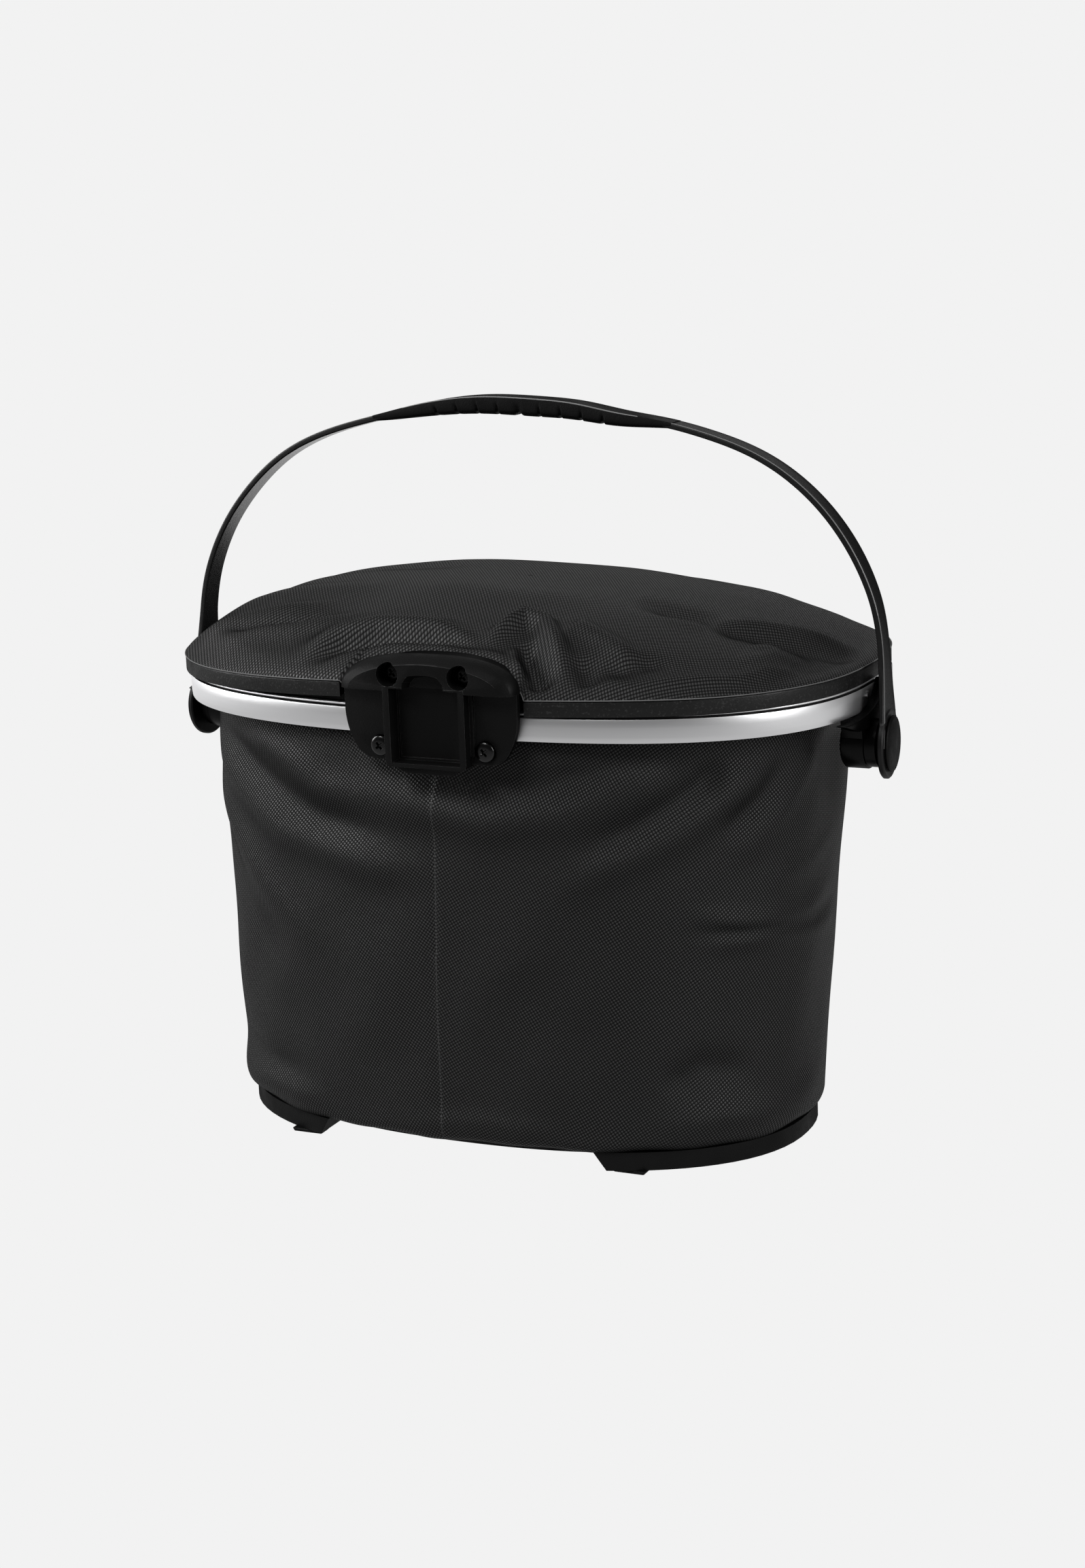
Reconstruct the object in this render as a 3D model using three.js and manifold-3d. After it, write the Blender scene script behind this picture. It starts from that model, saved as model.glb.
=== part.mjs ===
// A clip-on handlebar basket: an oval aluminium rim carries a tapered fabric bag with a footed base,
// a swinging carry handle, a hinged domed lid and, at the back, the receiver that slides onto a
// handlebar bracket. Millimetres, +Z up, +X to the right seen from the receiver side, -Y towards
// the handlebar. Shapes are drawn about the centre of the rim and the whole is then moved, so that
// the centre of the receiver's seat is the origin.
import * as THREE from "three";
import { mergeVertices } from "three/addons/utils/BufferGeometryUtils.js";
import Module from "manifold-3d";

const wasm = await Module();
wasm.setup();

// ---------------------------------------------------------------- driving dimensions
const gap = 0.3; // play between pieces that rest on each other
const ovalSteps = 48; // facets round the rim, the lid and the bag

const rim = { halfWidth: 190, halfDepth: 126, power: 2.6, top: 2.1, bottom: -12.5, flange: 9, wall: 2.2 };

const bag = { top: -8, neck: -13.4, shoulder: -15.3, base: -228.3, wall: 1.6 };
bag.mouth = { halfWidth: 180.2, near: -116.3, far: 116.3, power: 2.6 };
bag.upper = { halfWidth: 172, near: -120, far: 117.5, power: 2.5 };
bag.lower = { halfWidth: 163, near: -126, far: 77, power: 2.25 };

const lid = { bottom: 2.5, stripHeight: 7.4, overhang: 1, stripDepth: 6, crown: 50, skin: 1.8 };
lid.coverBase = lid.bottom + lid.stripHeight + gap;
lid.notch = { halfWidth: 52, flare: 12, back: 21, rise: 20.5 };

const hinge = { x: 60, y: 129.6, z: 3, halfLength: 12, knuckle: 2.6, pin: 1.2, leaf: 1.8 };

const receiver = { wingHalf: 48, wingBottom: -21, capBottom: 12.4, capTop: 30, capHalf: 48.5 };
receiver.back = -(rim.halfDepth + 0.4);
receiver.wing = receiver.back - 3.2;
receiver.front = receiver.wing - 7.6;
receiver.capFront = receiver.wing - 7.4;
receiver.capBack = -113.6;
receiver.seat = { halfWidth: 19.2, top: 13.6, bottom: -24.4, floor: receiver.front + 8, rib: 3.3 };

const clamp = { near: -113.2, far: -110, halfWidth: 42, top: 27, bottom: -28 };
const upperScrew = { x: 19.6, z: 20.4, seat: receiver.wing - 2 };
const lowerScrew = { x: 30, z: -17.4, seat: receiver.wing };
const screw = { shank: 2, head: 4.6, headHeight: 2.5, tip: -105.8, hole: 2.4 };
const nut = { radius: 4, height: 3.2 };

const pivot = { y: -12, z: -29 };
const hub = { inner: 179.5, outer: 199, radius: 13.5, bore: 4.3, armWidth: 22, armInner: 190.5 };
const bow = { halfWidth: 203, rise: 172.4, power: 2.65, width: 14, thickness: 3, tilt: 2, discRadius: 18 };
const grip = { halfLength: 84, width: 18, cover: 1, drop: 6.1, notches: 9, notchPitch: 12.2 };
const bracketScrewZ = -4.2;
const bracketScrewHead = 3.7;
const cap = { radius: 14.5, height: 3.2, recess: 8, recessDepth: 2.2 };
const bolt = { shank: 4, head: 7, headHeight: 1.6 };

const base = { top: -228.6, web: -231.3, bottom: -238.4, podStart: 76.4, podSlant: 7.5, podInset: 3.5, webInset: 14 };
const foot = { length: 19, width: 8, bottom: -240.3, x: 93.6, y: 79, endX: 146, endY: 20.5 };
const board = { bottom: -226.4, top: -223.4, inset: 10 };
const baseScrew = { x: 55, nearY: -62, farY: 14, tip: -221.8 };

const looks = {
  aluminium: { color: 0xb9bcbf, roughness: 0.38, metalness: 1 },
  steel: { color: 0x8d9093, roughness: 0.3, metalness: 1 },
  blackSteel: { color: 0x1a1a1b, roughness: 0.35, metalness: 0.8 },
  fabric: { color: 0x2b2b2c, roughness: 0.85, metalness: 0 },
  mattePlastic: { color: 0x161617, roughness: 0.6, metalness: 0 },
  glossPlastic: { color: 0x0f0f10, roughness: 0.3, metalness: 0 },
  rubber: { color: 0x121212, roughness: 0.8, metalness: 0 },
};

// ---------------------------------------------------------------- solids
const model = new THREE.Group();
model.position.set(0, -receiver.seat.floor, -(receiver.seat.top + receiver.seat.bottom) / 2);

function solid(geometry) {
  const bare = geometry.clone();
  bare.deleteAttribute("normal");
  bare.deleteAttribute("uv");
  const merged = mergeVertices(bare, 1e-4);
  const triVerts = new Uint32Array(merged.index.array);
  const vertProperties = merged.attributes.position.array;
  return new wasm.Manifold(new wasm.Mesh({ numProp: 3, vertProperties, triVerts }));
}

function geometryOf(body) {
  const mesh = body.getMesh();
  const geometry = new THREE.BufferGeometry();
  geometry.setAttribute("position", new THREE.BufferAttribute(mesh.vertProperties, mesh.numProp));
  geometry.setIndex(new THREE.BufferAttribute(mesh.triVerts, 1));
  geometry.computeVertexNormals();
  return geometry;
}

function addPart(name, body, look, parent = model) {
  const mesh = new THREE.Mesh(geometryOf(body), new THREE.MeshStandardMaterial(looks[look]));
  mesh.name = name;
  parent.add(mesh);
}

function box(x0, x1, y0, y1, z0, z1) {
  const geometry = new THREE.BoxGeometry(x1 - x0, y1 - y0, z1 - z0);
  return solid(geometry.translate((x0 + x1) / 2, (y0 + y1) / 2, (z0 + z1) / 2));
}

function rodX(radius, x0, x1, y, z, sides = 16) {
  const geometry = new THREE.CylinderGeometry(radius, radius, x1 - x0, sides).rotateZ(Math.PI / 2);
  return solid(geometry.translate((x0 + x1) / 2, y, z));
}

function rodY(radius, y0, y1, x, z, sides = 16) {
  const geometry = new THREE.CylinderGeometry(radius, radius, y1 - y0, sides);
  return solid(geometry.translate(x, (y0 + y1) / 2, z));
}

function rodZ(radius, z0, z1, x, y, sides = 16) {
  const geometry = new THREE.CylinderGeometry(radius, radius, z1 - z0, sides).rotateX(Math.PI / 2);
  return solid(geometry.translate(x, y, (z0 + z1) / 2));
}

// A shape drawn as X to the right and Z up, made thick from y0 to y1.
function plateXZ(shape, y0, y1, curveSegments = 10) {
  const geometry = new THREE.ExtrudeGeometry(shape, { depth: y1 - y0, bevelEnabled: false, curveSegments });
  return solid(geometry.rotateX(Math.PI / 2).translate(0, y1, 0));
}

// A shape drawn as X to the right and Y up the page, made thick from z0 to z1.
function plateXY(shape, z0, z1) {
  const geometry = new THREE.ExtrudeGeometry(shape, { depth: z1 - z0, bevelEnabled: false });
  return solid(geometry.translate(0, 0, z0));
}

function signedPower(value, power) {
  return Math.sign(value) * Math.abs(value) ** power;
}

// A point of a superellipse and its outward normal, at an angle from +X towards +Y.
function ovalPoint(angle, halfWidth, halfDepth, power) {
  const c = Math.abs(Math.cos(angle)) < 1e-9 ? 0 : Math.cos(angle);
  const s = Math.abs(Math.sin(angle)) < 1e-9 ? 0 : Math.sin(angle);
  const point = new THREE.Vector2(
    halfWidth * signedPower(c, 2 / power),
    halfDepth * signedPower(s, 2 / power),
  );
  const normal = new THREE.Vector2(
    signedPower(c, 2 - 2 / power) / halfWidth,
    signedPower(s, 2 - 2 / power) / halfDepth,
  ).normalize();
  return { point, normal };
}

// A lathe whose round section is replaced: place(angle, radius, height) says where a point goes.
function ovalLathe(profile, place) {
  const points = profile.map(([radius, height]) => new THREE.Vector2(radius, height));
  const geometry = new THREE.LatheGeometry(points, ovalSteps);
  const position = geometry.attributes.position;
  const rows = profile.length;
  for (let i = 0; i < position.count; i++) {
    const [radius, height] = profile[i % rows];
    const turn = (Math.floor(i / rows) % ovalSteps) / ovalSteps;
    const spot = place(2 * Math.PI * turn - Math.PI / 2, radius, height);
    position.setXYZ(i, spot.x, spot.y, spot.z);
  }
  return solid(geometry);
}

// A ring that follows the rim's oval: its profile holds [outward offset, height] pairs.
function rimRing(profile) {
  return ovalLathe([...profile, profile[0]], (angle, offset, height) => {
    const { point, normal } = ovalPoint(angle, rim.halfWidth, rim.halfDepth, rim.power);
    point.addScaledVector(normal, offset);
    return new THREE.Vector3(point.x, point.y, height);
  });
}

function smooth(value, from, to) {
  return THREE.MathUtils.smoothstep(value, from, to);
}

// ---------------------------------------------------------------- the rim
function rimFrame() {
  const inner = -rim.flange;
  const channel = -rim.wall;
  let ring = rimRing([
    [inner, rim.bottom],
    [-1.2, rim.bottom],
    [0, rim.bottom + 3.5],
    [0, rim.top - 0.6],
    [-0.9, rim.top],
    [inner, rim.top],
    [inner, rim.top - 2],
    [channel, rim.top - 2],
    [channel, rim.bottom + 2],
    [inner, rim.bottom + 2],
  ]);
  for (const side of [-1, 1]) {
    const x = side * rim.halfWidth;
    ring = ring.subtract(rodX(screw.hole, x - 6, x + 6, pivot.y, bracketScrewZ, 12));
  }
  return ring;
}

function bagWelt() {
  return rimRing([
    [-7.4, -10.2],
    [-4.2, -10.2],
    [-4.2, -8.4],
    [-7.4, -8.4],
  ]);
}

// ---------------------------------------------------------------- the bag and what is in it
function bagSection(height) {
  if (height >= bag.neck) return bag.mouth;
  const drop = THREE.MathUtils.clamp((bag.shoulder - height) / (bag.shoulder - bag.base), 0, 1);
  const mix = (key) => THREE.MathUtils.lerp(bag.upper[key], bag.lower[key], drop);
  return { halfWidth: mix("halfWidth"), near: mix("near"), far: mix("far"), power: mix("power") };
}

function bagPoint(angle, share, height) {
  const section = bagSection(height);
  const halfDepth = (section.far - section.near) / 2;
  const { point } = ovalPoint(angle, section.halfWidth, halfDepth, section.power);
  return new THREE.Vector3(share * point.x, share * point.y + (section.far + section.near) / 2, height);
}

function bagShell() {
  const inside = 0.987;
  const floor = bag.base + bag.wall;
  let shell = ovalLathe(
    [
      [0, bag.base],
      [0.95, bag.base],
      [0.99, bag.base + 4],
      [1, bag.base + 12],
      [1, -120],
      [1, bag.shoulder],
      [1, bag.neck],
      [1, bag.top],
      [inside, bag.top],
      [inside, bag.neck],
      [inside, bag.shoulder],
      [inside, -120],
      [inside, bag.base + 12],
      [0.94, floor],
      [0, floor],
    ],
    bagPoint,
  );
  for (const x of [-lowerScrew.x, lowerScrew.x]) {
    shell = shell.subtract(rodY(screw.hole, -125, -110, x, lowerScrew.z, 12));
  }
  return drillForBaseScrews(shell);
}

function drillForBaseScrews(body) {
  for (const x of [-baseScrew.x, baseScrew.x]) {
    for (const y of [baseScrew.nearY, baseScrew.farY]) {
      body = body.subtract(rodZ(screw.hole, base.web - 5, -210, x, y, 12));
    }
  }
  return body;
}

// The outline of the bag's foot, moved in by an inset.
function baseOutline(inset) {
  const halfDepth = (bag.lower.far - bag.lower.near) / 2;
  const centre = (bag.lower.far + bag.lower.near) / 2;
  const points = [];
  for (let i = 0; i < ovalSteps; i++) {
    const angle = (2 * Math.PI * i) / ovalSteps;
    const { point, normal } = ovalPoint(angle, bag.lower.halfWidth, halfDepth, bag.lower.power);
    point.addScaledVector(normal, -inset);
    points.push(new THREE.Vector2(point.x, point.y + centre));
  }
  return new THREE.Shape(points);
}

function baseBoard() {
  return drillForBaseScrews(plateXY(baseOutline(board.inset), board.bottom, board.top));
}

// A thin web with a thick pod at each end; the pods' inner ends lean outwards as they go down.
function basePlate() {
  const middle = new THREE.Shape([
    new THREE.Vector2(-base.podStart, base.top + 1),
    new THREE.Vector2(-base.podStart - base.podSlant, base.bottom - 1),
    new THREE.Vector2(base.podStart + base.podSlant, base.bottom - 1),
    new THREE.Vector2(base.podStart, base.top + 1),
  ]);
  const pods = plateXY(baseOutline(base.podInset), base.bottom, base.top);
  const web = plateXY(baseOutline(base.webInset), base.web, base.top);
  return drillForBaseScrews(pods.subtract(plateXZ(middle, -160, 160)).add(web));
}

function footPad(x, y) {
  const half = foot.length / 2;
  const low = foot.bottom;
  const high = base.bottom - gap;
  const side = new THREE.Shape([
    new THREE.Vector2(x - half, high),
    new THREE.Vector2(x - half + 1.6, low),
    new THREE.Vector2(x + half - 1.6, low),
    new THREE.Vector2(x + half, high),
  ]);
  return plateXZ(side, y - foot.width / 2, y + foot.width / 2);
}

// A pan head with a crossed recess on a plain shank. Drawn along +Z: the head's underside is at 0.
function panScrew(length, head = screw.head) {
  const flatTop = head * 0.35;
  const profile = [
    [0, -length],
    [screw.shank, -length],
    [screw.shank, 0],
    [head, 0],
    [head, screw.headHeight * 0.45],
    [head * 0.8, screw.headHeight * 0.85],
    [flatTop, screw.headHeight],
    [0, screw.headHeight],
  ].map(([r, h]) => new THREE.Vector2(r, h));
  const turned = solid(new THREE.LatheGeometry(profile, 10).rotateX(Math.PI / 2));
  const slot = [2.1, 0.5, screw.headHeight - 1.4, screw.headHeight + 1];
  const along = box(-slot[0], slot[0], -slot[1], slot[1], slot[2], slot[3]);
  const across = box(-slot[1], slot[1], -slot[0], slot[0], slot[2], slot[3]);
  return turned.subtract(along.add(across));
}

function placed(body, place) {
  const geometry = geometryOf(body);
  place(geometry);
  return solid(geometry);
}

// ---------------------------------------------------------------- the receiver
function receiverWings() {
  const shape = new THREE.Shape();
  const half = receiver.wingHalf;
  const low = receiver.wingBottom;
  const tab = 13;
  const tabBottom = receiver.seat.bottom - 5.7;
  shape.moveTo(-half, receiver.capBottom + 4);
  shape.lineTo(-half, -2);
  shape.quadraticCurveTo(-half, -13, -36, low + 2);
  shape.quadraticCurveTo(-33, low, -28, low);
  shape.lineTo(-19, low);
  shape.lineTo(-tab - 3, tabBottom);
  shape.lineTo(tab + 3, tabBottom);
  shape.lineTo(19, low);
  shape.lineTo(28, low);
  shape.quadraticCurveTo(33, low, 36, low + 2);
  shape.quadraticCurveTo(half, -13, half, -2);
  shape.lineTo(half, receiver.capBottom + 4);
  return plateXZ(shape, receiver.wing, receiver.back, 4);
}

function capShape(shrink, bottom) {
  const shape = new THREE.Shape();
  const half = receiver.capHalf - shrink;
  const top = receiver.capTop - shrink;
  shape.moveTo(-half, bottom);
  shape.bezierCurveTo(-half, bottom + 8, -half + 10, top - 3, -half + 22, top - 1);
  shape.quadraticCurveTo(0, top + 1.4, half - 22, top - 1);
  shape.bezierCurveTo(half - 10, top - 3, half, bottom + 8, half, bottom);
  shape.lineTo(-half, bottom);
  return shape;
}

function receiverPlate() {
  const seat = receiver.seat;
  const rib = seat.halfWidth + seat.rib;
  const overRim = rim.top + 0.5;
  let body = receiverWings();
  body = body.add(plateXZ(capShape(3, receiver.capBottom), receiver.capFront, receiver.capFront + 4, 5));
  body = body.add(plateXZ(capShape(0, receiver.capBottom), receiver.capFront + 3, receiver.back - 0.1, 5));
  body = body.add(plateXZ(capShape(1.5, overRim), receiver.back - 0.2, receiver.capBack, 5));
  body = body.add(box(-rib, rib, receiver.front, receiver.back, seat.bottom - seat.rib, seat.top + 1.5));
  body = body.subtract(
    box(-seat.halfWidth, seat.halfWidth, receiver.front - 5, seat.floor, seat.bottom, seat.top),
  );
  body = body.subtract(fingerNotch());
  for (const x of [-upperScrew.x, upperScrew.x]) {
    body = body.subtract(rodY(6, receiver.capFront - 5, upperScrew.seat, x, upperScrew.z, 20));
    body = body.subtract(rodY(screw.hole, upperScrew.seat - 1, -100, x, upperScrew.z, 12));
  }
  for (const x of [-lowerScrew.x, lowerScrew.x]) {
    body = body.subtract(rodY(screw.hole, receiver.front, -100, x, lowerScrew.z, 12));
  }
  return body;
}

// The scoop in the lower edge of the cap, over the seat, where the bracket's release lever goes in.
function fingerNotch() {
  const shape = new THREE.Shape();
  shape.moveTo(-12.5, receiver.capBottom - 2);
  shape.quadraticCurveTo(-11, 21.5, -6, 22);
  shape.lineTo(6, 22);
  shape.quadraticCurveTo(11, 21.5, 12.5, receiver.capBottom - 2);
  return plateXZ(shape, receiver.capFront - 2, receiver.capFront + 6, 4);
}

function clampPlate() {
  let body = box(-clamp.halfWidth, clamp.halfWidth, clamp.near, clamp.far, clamp.bottom, clamp.top);
  for (const spot of [upperScrew, lowerScrew]) {
    for (const x of [-spot.x, spot.x]) {
      body = body.subtract(rodY(screw.hole, -120, -105, x, spot.z, 12));
    }
  }
  return body;
}

function receiverScrew(side, spot) {
  const length = screw.tip - spot.seat + gap;
  return placed(panScrew(length), (geometry) => {
    geometry.rotateX(Math.PI / 2);
    geometry.translate(side * spot.x, spot.seat - gap, spot.z);
  });
}

function hexNut(side, spot) {
  const y = clamp.far + gap;
  const outer = rodY(nut.radius, y, y + nut.height, side * spot.x, spot.z, 6);
  return outer.subtract(rodY(screw.hole, y - 1, y + nut.height + 1, side * spot.x, spot.z, 12));
}

// ---------------------------------------------------------------- hubs and handle
function hubBracket(side) {
  const mirrored = (x0, x1) => (side > 0 ? [x0, x1] : [-x1, -x0]);
  const [barrel0, barrel1] = mirrored(hub.inner, hub.outer);
  const [arm0, arm1] = mirrored(hub.armInner, hub.outer - 0.8);
  const [bore0, bore1] = mirrored(hub.inner + 5, hub.outer + 2);
  const [screw0, screw1] = mirrored(hub.armInner - 1, hub.armInner + 7);
  const half = hub.armWidth / 2;
  const arm = box(arm0, arm1, pivot.y - half, pivot.y + half, pivot.z, rim.top - 0.4);
  const barrel = rodX(hub.radius, barrel0, barrel1, pivot.y, pivot.z, 32);
  return barrel
    .add(arm)
    .subtract(rodX(hub.bore, bore0, bore1, pivot.y, pivot.z))
    .subtract(rodX(screw.hole, screw0, screw1, pivot.y, bracketScrewZ, 12));
}

function bracketScrew(side) {
  const x = side * (rim.halfWidth - rim.wall - 1);
  return placed(panScrew(8, bracketScrewHead), (geometry) => {
    geometry.rotateY(-side * (Math.PI / 2));
    geometry.translate(x, pivot.y, bracketScrewZ);
  });
}

function pivotWasher(side) {
  const x0 = hub.outer + 0.2;
  const x1 = bow.halfWidth - bow.thickness - 0.2;
  const [a, b] = side > 0 ? [x0, x1] : [-x1, -x0];
  return rodX(9, a, b, pivot.y, pivot.z).subtract(rodX(hub.bore, a - 1, b + 1, pivot.y, pivot.z));
}

function pivotBolt(side) {
  const faceOut = bow.halfWidth + gap;
  const [s0, s1] = side > 0 ? [hub.inner + 6, faceOut + 1] : [-faceOut - 1, -hub.inner - 6];
  const [h0, h1] = side > 0 ? [faceOut, faceOut + bolt.headHeight] : [-faceOut - bolt.headHeight, -faceOut];
  return rodX(bolt.shank, s0, s1, pivot.y, pivot.z).add(rodX(bolt.head, h0, h1, pivot.y, pivot.z));
}

// Everything that swings is drawn about the pivot axis, upright, and leans by the rest tilt.
const swing = new THREE.Group();
swing.position.set(0, pivot.y, pivot.z);
swing.rotation.x = -THREE.MathUtils.degToRad(bow.tilt);
model.add(swing);

// Points of the bow's curve, moved in from its outer face, from the right pivot over to the left.
function bowCurve(inset, from = 0, to = Math.PI, steps = 36) {
  const points = [];
  for (let i = 0; i <= steps; i++) {
    const angle = from + ((to - from) * i) / steps;
    const { point, normal } = ovalPoint(angle, bow.halfWidth, bow.rise, bow.power);
    points.push(point.addScaledVector(normal, -inset));
  }
  return points;
}

function bowStrip(width, outset) {
  const outer = bowCurve(-outset);
  const inner = bowCurve(bow.thickness + outset).reverse();
  return plateXZ(new THREE.Shape([...outer, ...inner]), -width / 2, width / 2);
}

// The strip, its two pivot discs and the flared necks between them.
function handleBow() {
  let body = bowStrip(bow.width, 0);
  for (const side of [-1, 1]) {
    const out = bow.halfWidth;
    const [x0, x1] = side > 0 ? [out - bow.thickness, out] : [-out, bow.thickness - out];
    const disc = rodX(bow.discRadius, x0, x1, 0, 0, 28);
    body = body.add(disc).add(handleNeck(x0, x1));
    body = body.subtract(rodX(hub.bore, x0 - 2, x1 + 2, 0, 0));
  }
  return body;
}

// Seen from the side the neck narrows in a smooth curve from the disc to the strip.
function handleNeck(x0, x1) {
  const half = bow.width / 2;
  const shape = new THREE.Shape();
  shape.moveTo(-bow.discRadius + 2, 8);
  shape.quadraticCurveTo(-half - 1, 22, -half, 44);
  shape.lineTo(half, 44);
  shape.quadraticCurveTo(half + 1, 22, bow.discRadius - 2, 8);
  const geometry = new THREE.ExtrudeGeometry(shape, { depth: x1 - x0, bevelEnabled: false, curveSegments: 6 });
  geometry.rotateX(Math.PI / 2).rotateZ(Math.PI / 2).translate(x0, 0, 0);
  return solid(geometry).intersect(box(x0 - 1, x1 + 1, -40, 40, 0, 60));
}

// The grip is a moulded sleeve, deepest in the middle, with finger notches across its underside.
function handleGrip() {
  const reach = Math.acos(signedPower(grip.halfLength / bow.halfWidth, bow.power / 2));
  const outer = bowCurve(-grip.cover, reach, Math.PI - reach, 14);
  const inner = bowCurve(bow.thickness, reach, Math.PI - reach, 14).reverse();
  for (const point of inner) {
    const share = 1 - (point.x / grip.halfLength) ** 2;
    point.y -= 0.8 + grip.drop * Math.max(share, 0) ** 0.8;
  }
  const half = grip.width / 2;
  let body = plateXZ(new THREE.Shape([...outer, ...inner]), -half, half);
  body = body.subtract(bowStrip(bow.width + 2 * gap, gap));
  const underside = bow.rise - bow.thickness - grip.drop - 0.8;
  for (let i = 0; i < grip.notches; i++) {
    const x = (i - (grip.notches - 1) / 2) * grip.notchPitch;
    const depth = 1.2 - grip.drop * (1 - Math.max(1 - (x / grip.halfLength) ** 2, 0) ** 0.8);
    body = body.subtract(rodY(1.3, -half - 1, half + 1, x, underside + depth - 1.2, 8));
  }
  return body;
}

function hubCap(side) {
  const x = bow.halfWidth + gap;
  const rounding = 1.2;
  const profile = [
    [0, cap.recessDepth],
    [cap.recess, cap.recessDepth],
    [cap.recess, 0],
    [cap.radius, 0],
    [cap.radius, cap.height - rounding],
    [cap.radius - rounding, cap.height],
    [0, cap.height],
  ].map(([r, h]) => new THREE.Vector2(r, h));
  const geometry = new THREE.LatheGeometry(profile, 24).rotateZ(side * -(Math.PI / 2));
  return solid(geometry.translate(side * x, 0, 0));
}

// ---------------------------------------------------------------- the lid
// The cover's edge rises and draws back in an arch that clears the receiver's cap.
function coverPoint(angle, share, height) {
  const halfWidth = rim.halfWidth + lid.overhang;
  const halfDepth = rim.halfDepth + lid.overhang;
  const { point } = ovalPoint(angle, halfWidth * share, halfDepth * share, rim.power);
  const nearSide = point.y < 0 ? 1 : 0;
  const across = 1 - smooth(Math.abs(point.x), lid.notch.halfWidth, lid.notch.halfWidth + lid.notch.flare);
  const pull = nearSide * across * smooth(share, 0.5, 1);
  return new THREE.Vector3(point.x, point.y + lid.notch.back * pull, height + lid.notch.rise * pull);
}

function coverHeight(share) {
  return lid.coverBase + (lid.crown - lid.coverBase) * (1 - share ** 2.6) ** 0.8;
}

function lidCover() {
  const shares = [0.4, 0.65, 0.82, 0.93, 0.98];
  const outside = shares.map((share) => [share, coverHeight(share)]).reverse();
  const inside = shares.map((share) => [share * 0.985, coverHeight(share) - lid.skin]);
  return ovalLathe(
    [
      [0, lid.crown - lid.skin],
      ...inside,
      [0.975, lid.coverBase],
      [1, lid.coverBase],
      ...outside,
      [0, lid.crown],
    ],
    coverPoint,
  );
}

// The part of a lid ring that would run through the receiver is left out.
function notched(ring) {
  const half = lid.notch.halfWidth;
  return ring.subtract(box(-half, half, -150, -90, -20, 60));
}

function lidRim() {
  const top = lid.bottom + lid.stripHeight;
  const inner = lid.overhang - lid.stripDepth;
  return notched(
    rimRing([
      [inner, lid.bottom],
      [lid.overhang, lid.bottom],
      [lid.overhang, top - 1],
      [lid.overhang - 1, top],
      [inner, top],
    ]),
  );
}

function lidLip() {
  return notched(
    rimRing([
      [-12.5, -5],
      [-10, -5],
      [-10, lid.bottom + 0.4],
      [-5.3, lid.bottom + 0.4],
      [-5.3, lid.bottom + 3],
      [-12.5, lid.bottom + 3],
    ]),
  );
}

// ---------------------------------------------------------------- the lid's hinges
function hingePin(side) {
  const x = side * hinge.x;
  return rodX(hinge.pin, x - hinge.halfLength - 1, x + hinge.halfLength + 1, hinge.y, hinge.z, 10);
}

function knuckle(x0, x1) {
  return rodX(hinge.knuckle, x0, x1, hinge.y, hinge.z, 14);
}

function hingeBore(x) {
  return rodX(hinge.pin + 0.15, x - 20, x + 20, hinge.y, hinge.z, 10);
}

function frameLeaf(side) {
  const x = side * hinge.x;
  const long = hinge.halfLength;
  const middle = long / 2;
  const y0 = 125.3;
  let leaf = box(x - long, x + long, y0, y0 + hinge.leaf, -11, 1.6);
  for (const [x0, x1] of [[x - long, x - middle], [x + middle, x + long]]) {
    leaf = leaf.add(box(x0, x1, y0, hinge.y, 0, 1.6)).add(knuckle(x0, x1));
  }
  return leaf.subtract(hingeBore(x));
}

function lidLeaf(side) {
  const x = side * hinge.x;
  const half = hinge.halfLength / 2 - gap;
  const top = lid.bottom + lid.stripHeight;
  const y0 = 126;
  const plate = box(x - half, x + half, y0, y0 + hinge.leaf, 5, top);
  const shelf = box(x - half, x + half, y0, hinge.y, 4, 5.4);
  return plate.add(shelf).add(knuckle(x - half, x + half)).subtract(hingeBore(x));
}

// ---------------------------------------------------------------- assembly
const sides = [["left", -1], ["right", 1]];

addPart("rim_frame", rimFrame(), "aluminium");
addPart("bag_welt", bagWelt(), "mattePlastic");
addPart("bag_shell", bagShell(), "fabric");
addPart("base_board", baseBoard(), "mattePlastic");
addPart("base_plate", basePlate(), "mattePlastic");
addPart("receiver_plate", receiverPlate(), "mattePlastic");
addPart("receiver_clamp_plate", clampPlate(), "mattePlastic");
addPart("lid_cover", lidCover(), "fabric");
addPart("lid_rim", lidRim(), "mattePlastic");
addPart("lid_lip", lidLip(), "rubber");
addPart("handle_bow", handleBow(), "blackSteel", swing);
addPart("handle_grip", handleGrip(), "mattePlastic", swing);

for (const [name, side] of sides) {
  addPart(`receiver_screw_upper_${name}`, receiverScrew(side, upperScrew), "blackSteel");
  addPart(`receiver_screw_lower_${name}`, receiverScrew(side, lowerScrew), "blackSteel");
  addPart(`receiver_nut_upper_${name}`, hexNut(side, upperScrew), "steel");
  addPart(`receiver_nut_lower_${name}`, hexNut(side, lowerScrew), "steel");
  addPart(`hub_bracket_${name}`, hubBracket(side), "glossPlastic");
  addPart(`hub_bracket_screw_${name}`, bracketScrew(side), "steel");
  addPart(`pivot_washer_${name}`, pivotWasher(side), "mattePlastic");
  addPart(`pivot_bolt_${name}`, pivotBolt(side), "steel");
  addPart(`hub_cap_${name}`, hubCap(side), "glossPlastic", swing);
  addPart(`hinge_pin_${name}`, hingePin(side), "steel");
  addPart(`hinge_frame_leaf_${name}`, frameLeaf(side), "mattePlastic");
  addPart(`hinge_lid_leaf_${name}`, lidLeaf(side), "mattePlastic");
}

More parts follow.
